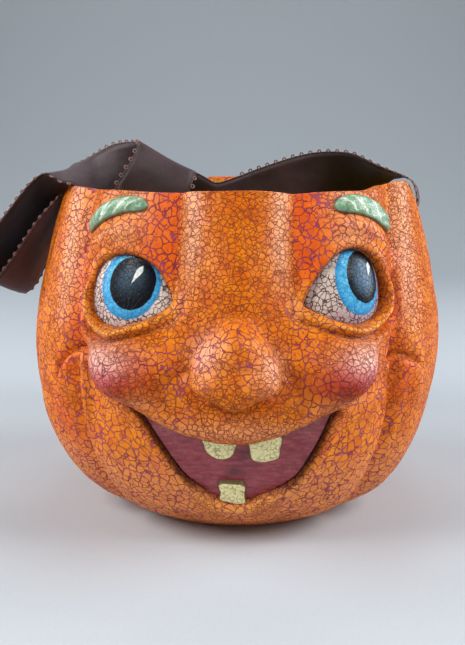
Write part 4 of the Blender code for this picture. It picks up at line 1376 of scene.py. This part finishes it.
def build_knot(name, node, side):
    """Gathered ribbon end: pleated neck through the hole, then overlapping folded turns inside."""
    out = np.array([side * math.sin(HOLE_ANGLE), -math.cos(HOLE_ANGLE), 0.0])
    across = np.array([-out[1], out[0], 0.0])
    up = np.array([0, 0, 1.0])
    start = out * HOLE_RADIUS + up * HOLE_Z
    parts = Parts(width=2)  # the values are the UV place

    rows, columns = 26, 40
    shares = np.linspace(0, 1, rows)
    turn = np.linspace(0, 2 * math.pi, columns + 1)[:-1]
    neck = []
    for share in shares:
        radius = NECK_RADIUS + 0.5 * math.sin(share * 9) + 2.4 * max(0, share - 0.75) * 4
        radius = np.minimum(radius * (1 + 0.16 * np.sin(turn * 7 + 0.6 * share)), 6.4)
        neck.append(start - out * (NECK_LENGTH * share) + across * (radius * np.cos(turn))[:, None]
                    + up * (radius * np.sin(turn))[:, None])
    faces = grid_faces(rows, columns, wrap=True, flip=side > 0).tolist()
    faces.append([(rows - 1) * columns + k for k in range(columns)])
    faces.append(list(range(columns))[::-1])
    uv = np.stack([np.repeat(shares * NECK_LENGTH, columns), np.tile(turn * NECK_RADIUS, rows)],
                  axis=-1)
    parts.add(np.vstack(neck), uv, faces)

    segments = 20
    heart = start - out * 16.0
    for tilt, radius, thickness in KNOT_TURNS:
        wide = across * math.cos(tilt) + up * math.sin(tilt)
        tall = -across * math.sin(tilt) * 0.4 + up * math.cos(tilt) * 0.4 - out * 0.75
        tall -= wide * (wide @ tall)
        tall /= np.linalg.norm(tall)
        loop = (heart + radius * 0.62 * np.cos(turn)[:, None] * wide
                + radius * 0.62 * np.sin(turn)[:, None] * tall)
        sides = np.repeat(np.cross(wide, tall)[None], columns, 0)
        points, faces = tube(loop, sides, thickness, segments=segments, closed=True)
        core = np.repeat(loop, segments, 0)
        section = np.tile(np.arange(segments) / segments * 2 * math.pi, columns)
        pleat = 1 + 0.10 * np.sin(section * 5 + np.repeat(turn, segments) * 1.5)
        uv = np.stack([np.repeat(turn * radius, segments),
                       np.tile(np.arange(segments) * 1.1, columns)], axis=-1)
        parts.add(core + (points - core) * pleat[:, None], uv, faces)
    mesh_object(name, np.vstack(parts.points), parts.faces, (SATIN,), (node,),
                uv=np.vstack(parts.values))


build_knot("knot_left", "ribbon_left_knot", -1)
build_knot("knot_right", "ribbon_right_knot", 1)

# --------------------------------------------------------------------------- stage, light, camera
WARM = (1.0, 0.985, 0.96)


def build_stage():
    """Pale sweep: a floor that curves up into a backdrop behind the bucket."""
    half_width, bend = 5000, 900  # the floor ends and the curve starts at y = bend
    turns = np.linspace(0, math.pi / 2, 16)[1:]
    profile = [(-4000, 0.0), (bend, 0.0)]
    profile += [(bend + bend * math.sin(a), bend - bend * math.cos(a)) for a in turns]
    profile.append((2 * bend, 4000))
    points = [(x, y, z) for y, z in profile for x in (-half_width, half_width)]
    faces = [[2 * k, 2 * k + 1, 2 * k + 3, 2 * k + 2] for k in range(len(profile) - 1)]
    mesh_object("floor", points, faces, (floor_material(),), body=None)


def area_light(name, location, target, size, power, colour):
    """Rectangular light aimed at target; metres and watts."""
    data = bpy.data.lights.new(name, "AREA")
    data.shape = "RECTANGLE"
    data.size, data.size_y = size
    data.energy = power
    data.color = colour
    obj = bpy.data.objects.new(name, data)
    obj.location = location
    aim = Vector(target) - Vector(location)
    obj.rotation_euler = aim.to_track_quat("-Z", "Y").to_euler()
    bpy.context.scene.collection.objects.link(obj)


def build_world():
    """Pale blue surround, brighter to the camera than to the bucket."""
    world = bpy.data.worlds.new("studio")
    world.use_nodes = True
    tree = world.node_tree
    backdrop = tree.nodes["Background"]
    backdrop.inputs["Color"].default_value = (0.80, 0.87, 1.0, 1.0)
    rays = tree.nodes.new("ShaderNodeLightPath")
    strength = tree.nodes.new("ShaderNodeMapRange")
    strength.inputs["To Min"].default_value = 0.05
    strength.inputs["To Max"].default_value = 0.45
    tree.links.new(rays.outputs["Is Camera Ray"], strength.inputs["Value"])
    tree.links.new(strength.outputs[0], backdrop.inputs["Strength"])
    bpy.context.scene.world = world
    bpy.context.scene.view_settings.view_transform = "Standard"


def build_camera():
    """Camera in front of the face, looking slightly down."""
    tilt_down, roll = 11.13, 0.74  # degrees
    data = bpy.data.cameras.new("camera")
    data.lens = 52.967442
    data.clip_start = 0.01
    data.clip_end = 50.0
    camera = bpy.data.objects.new("camera", data)
    camera.location = (-0.0032, -0.560, 0.2118)
    camera.rotation_mode = "QUATERNION"
    camera.rotation_quaternion = (Quaternion((1, 0, 0), math.radians(90.0 - tilt_down))
                                  @ Quaternion((0, 0, 1), math.radians(roll)))
    bpy.context.scene.collection.objects.link(camera)
    bpy.context.scene.camera = camera


build_stage()
area_light("softbox_left", location=(-0.90, -0.66, 0.98), target=(0, 0, 0.12),
           size=(0.42, 0.72), power=14.4, colour=WARM)
area_light("softbox_right", location=(0.96, -0.54, 0.96), target=(0, 0, 0.12),
           size=(0.42, 0.72), power=12.3, colour=WARM)
area_light("side_left", location=(-1.15, 0.22, 0.52), target=(0, 0, 0.11),
           size=(0.50, 0.80), power=10.5, colour=(0.95, 0.97, 1.0))
area_light("side_right", location=(1.15, 0.22, 0.52), target=(0, 0, 0.11),
           size=(0.50, 0.80), power=12.5, colour=(0.90, 0.95, 1.0))
area_light("overhead", location=(0.0, 0.55, 1.15), target=(0, 0.05, 0.0),
           size=(0.8, 0.5), power=3.0, colour=(0.92, 0.96, 1.0))
area_light("low_front", location=(0.0, -1.35, 0.10), target=(0, 0, 0.08),
           size=(0.9, 0.35), power=2.5, colour=WARM)
build_world()
build_camera()
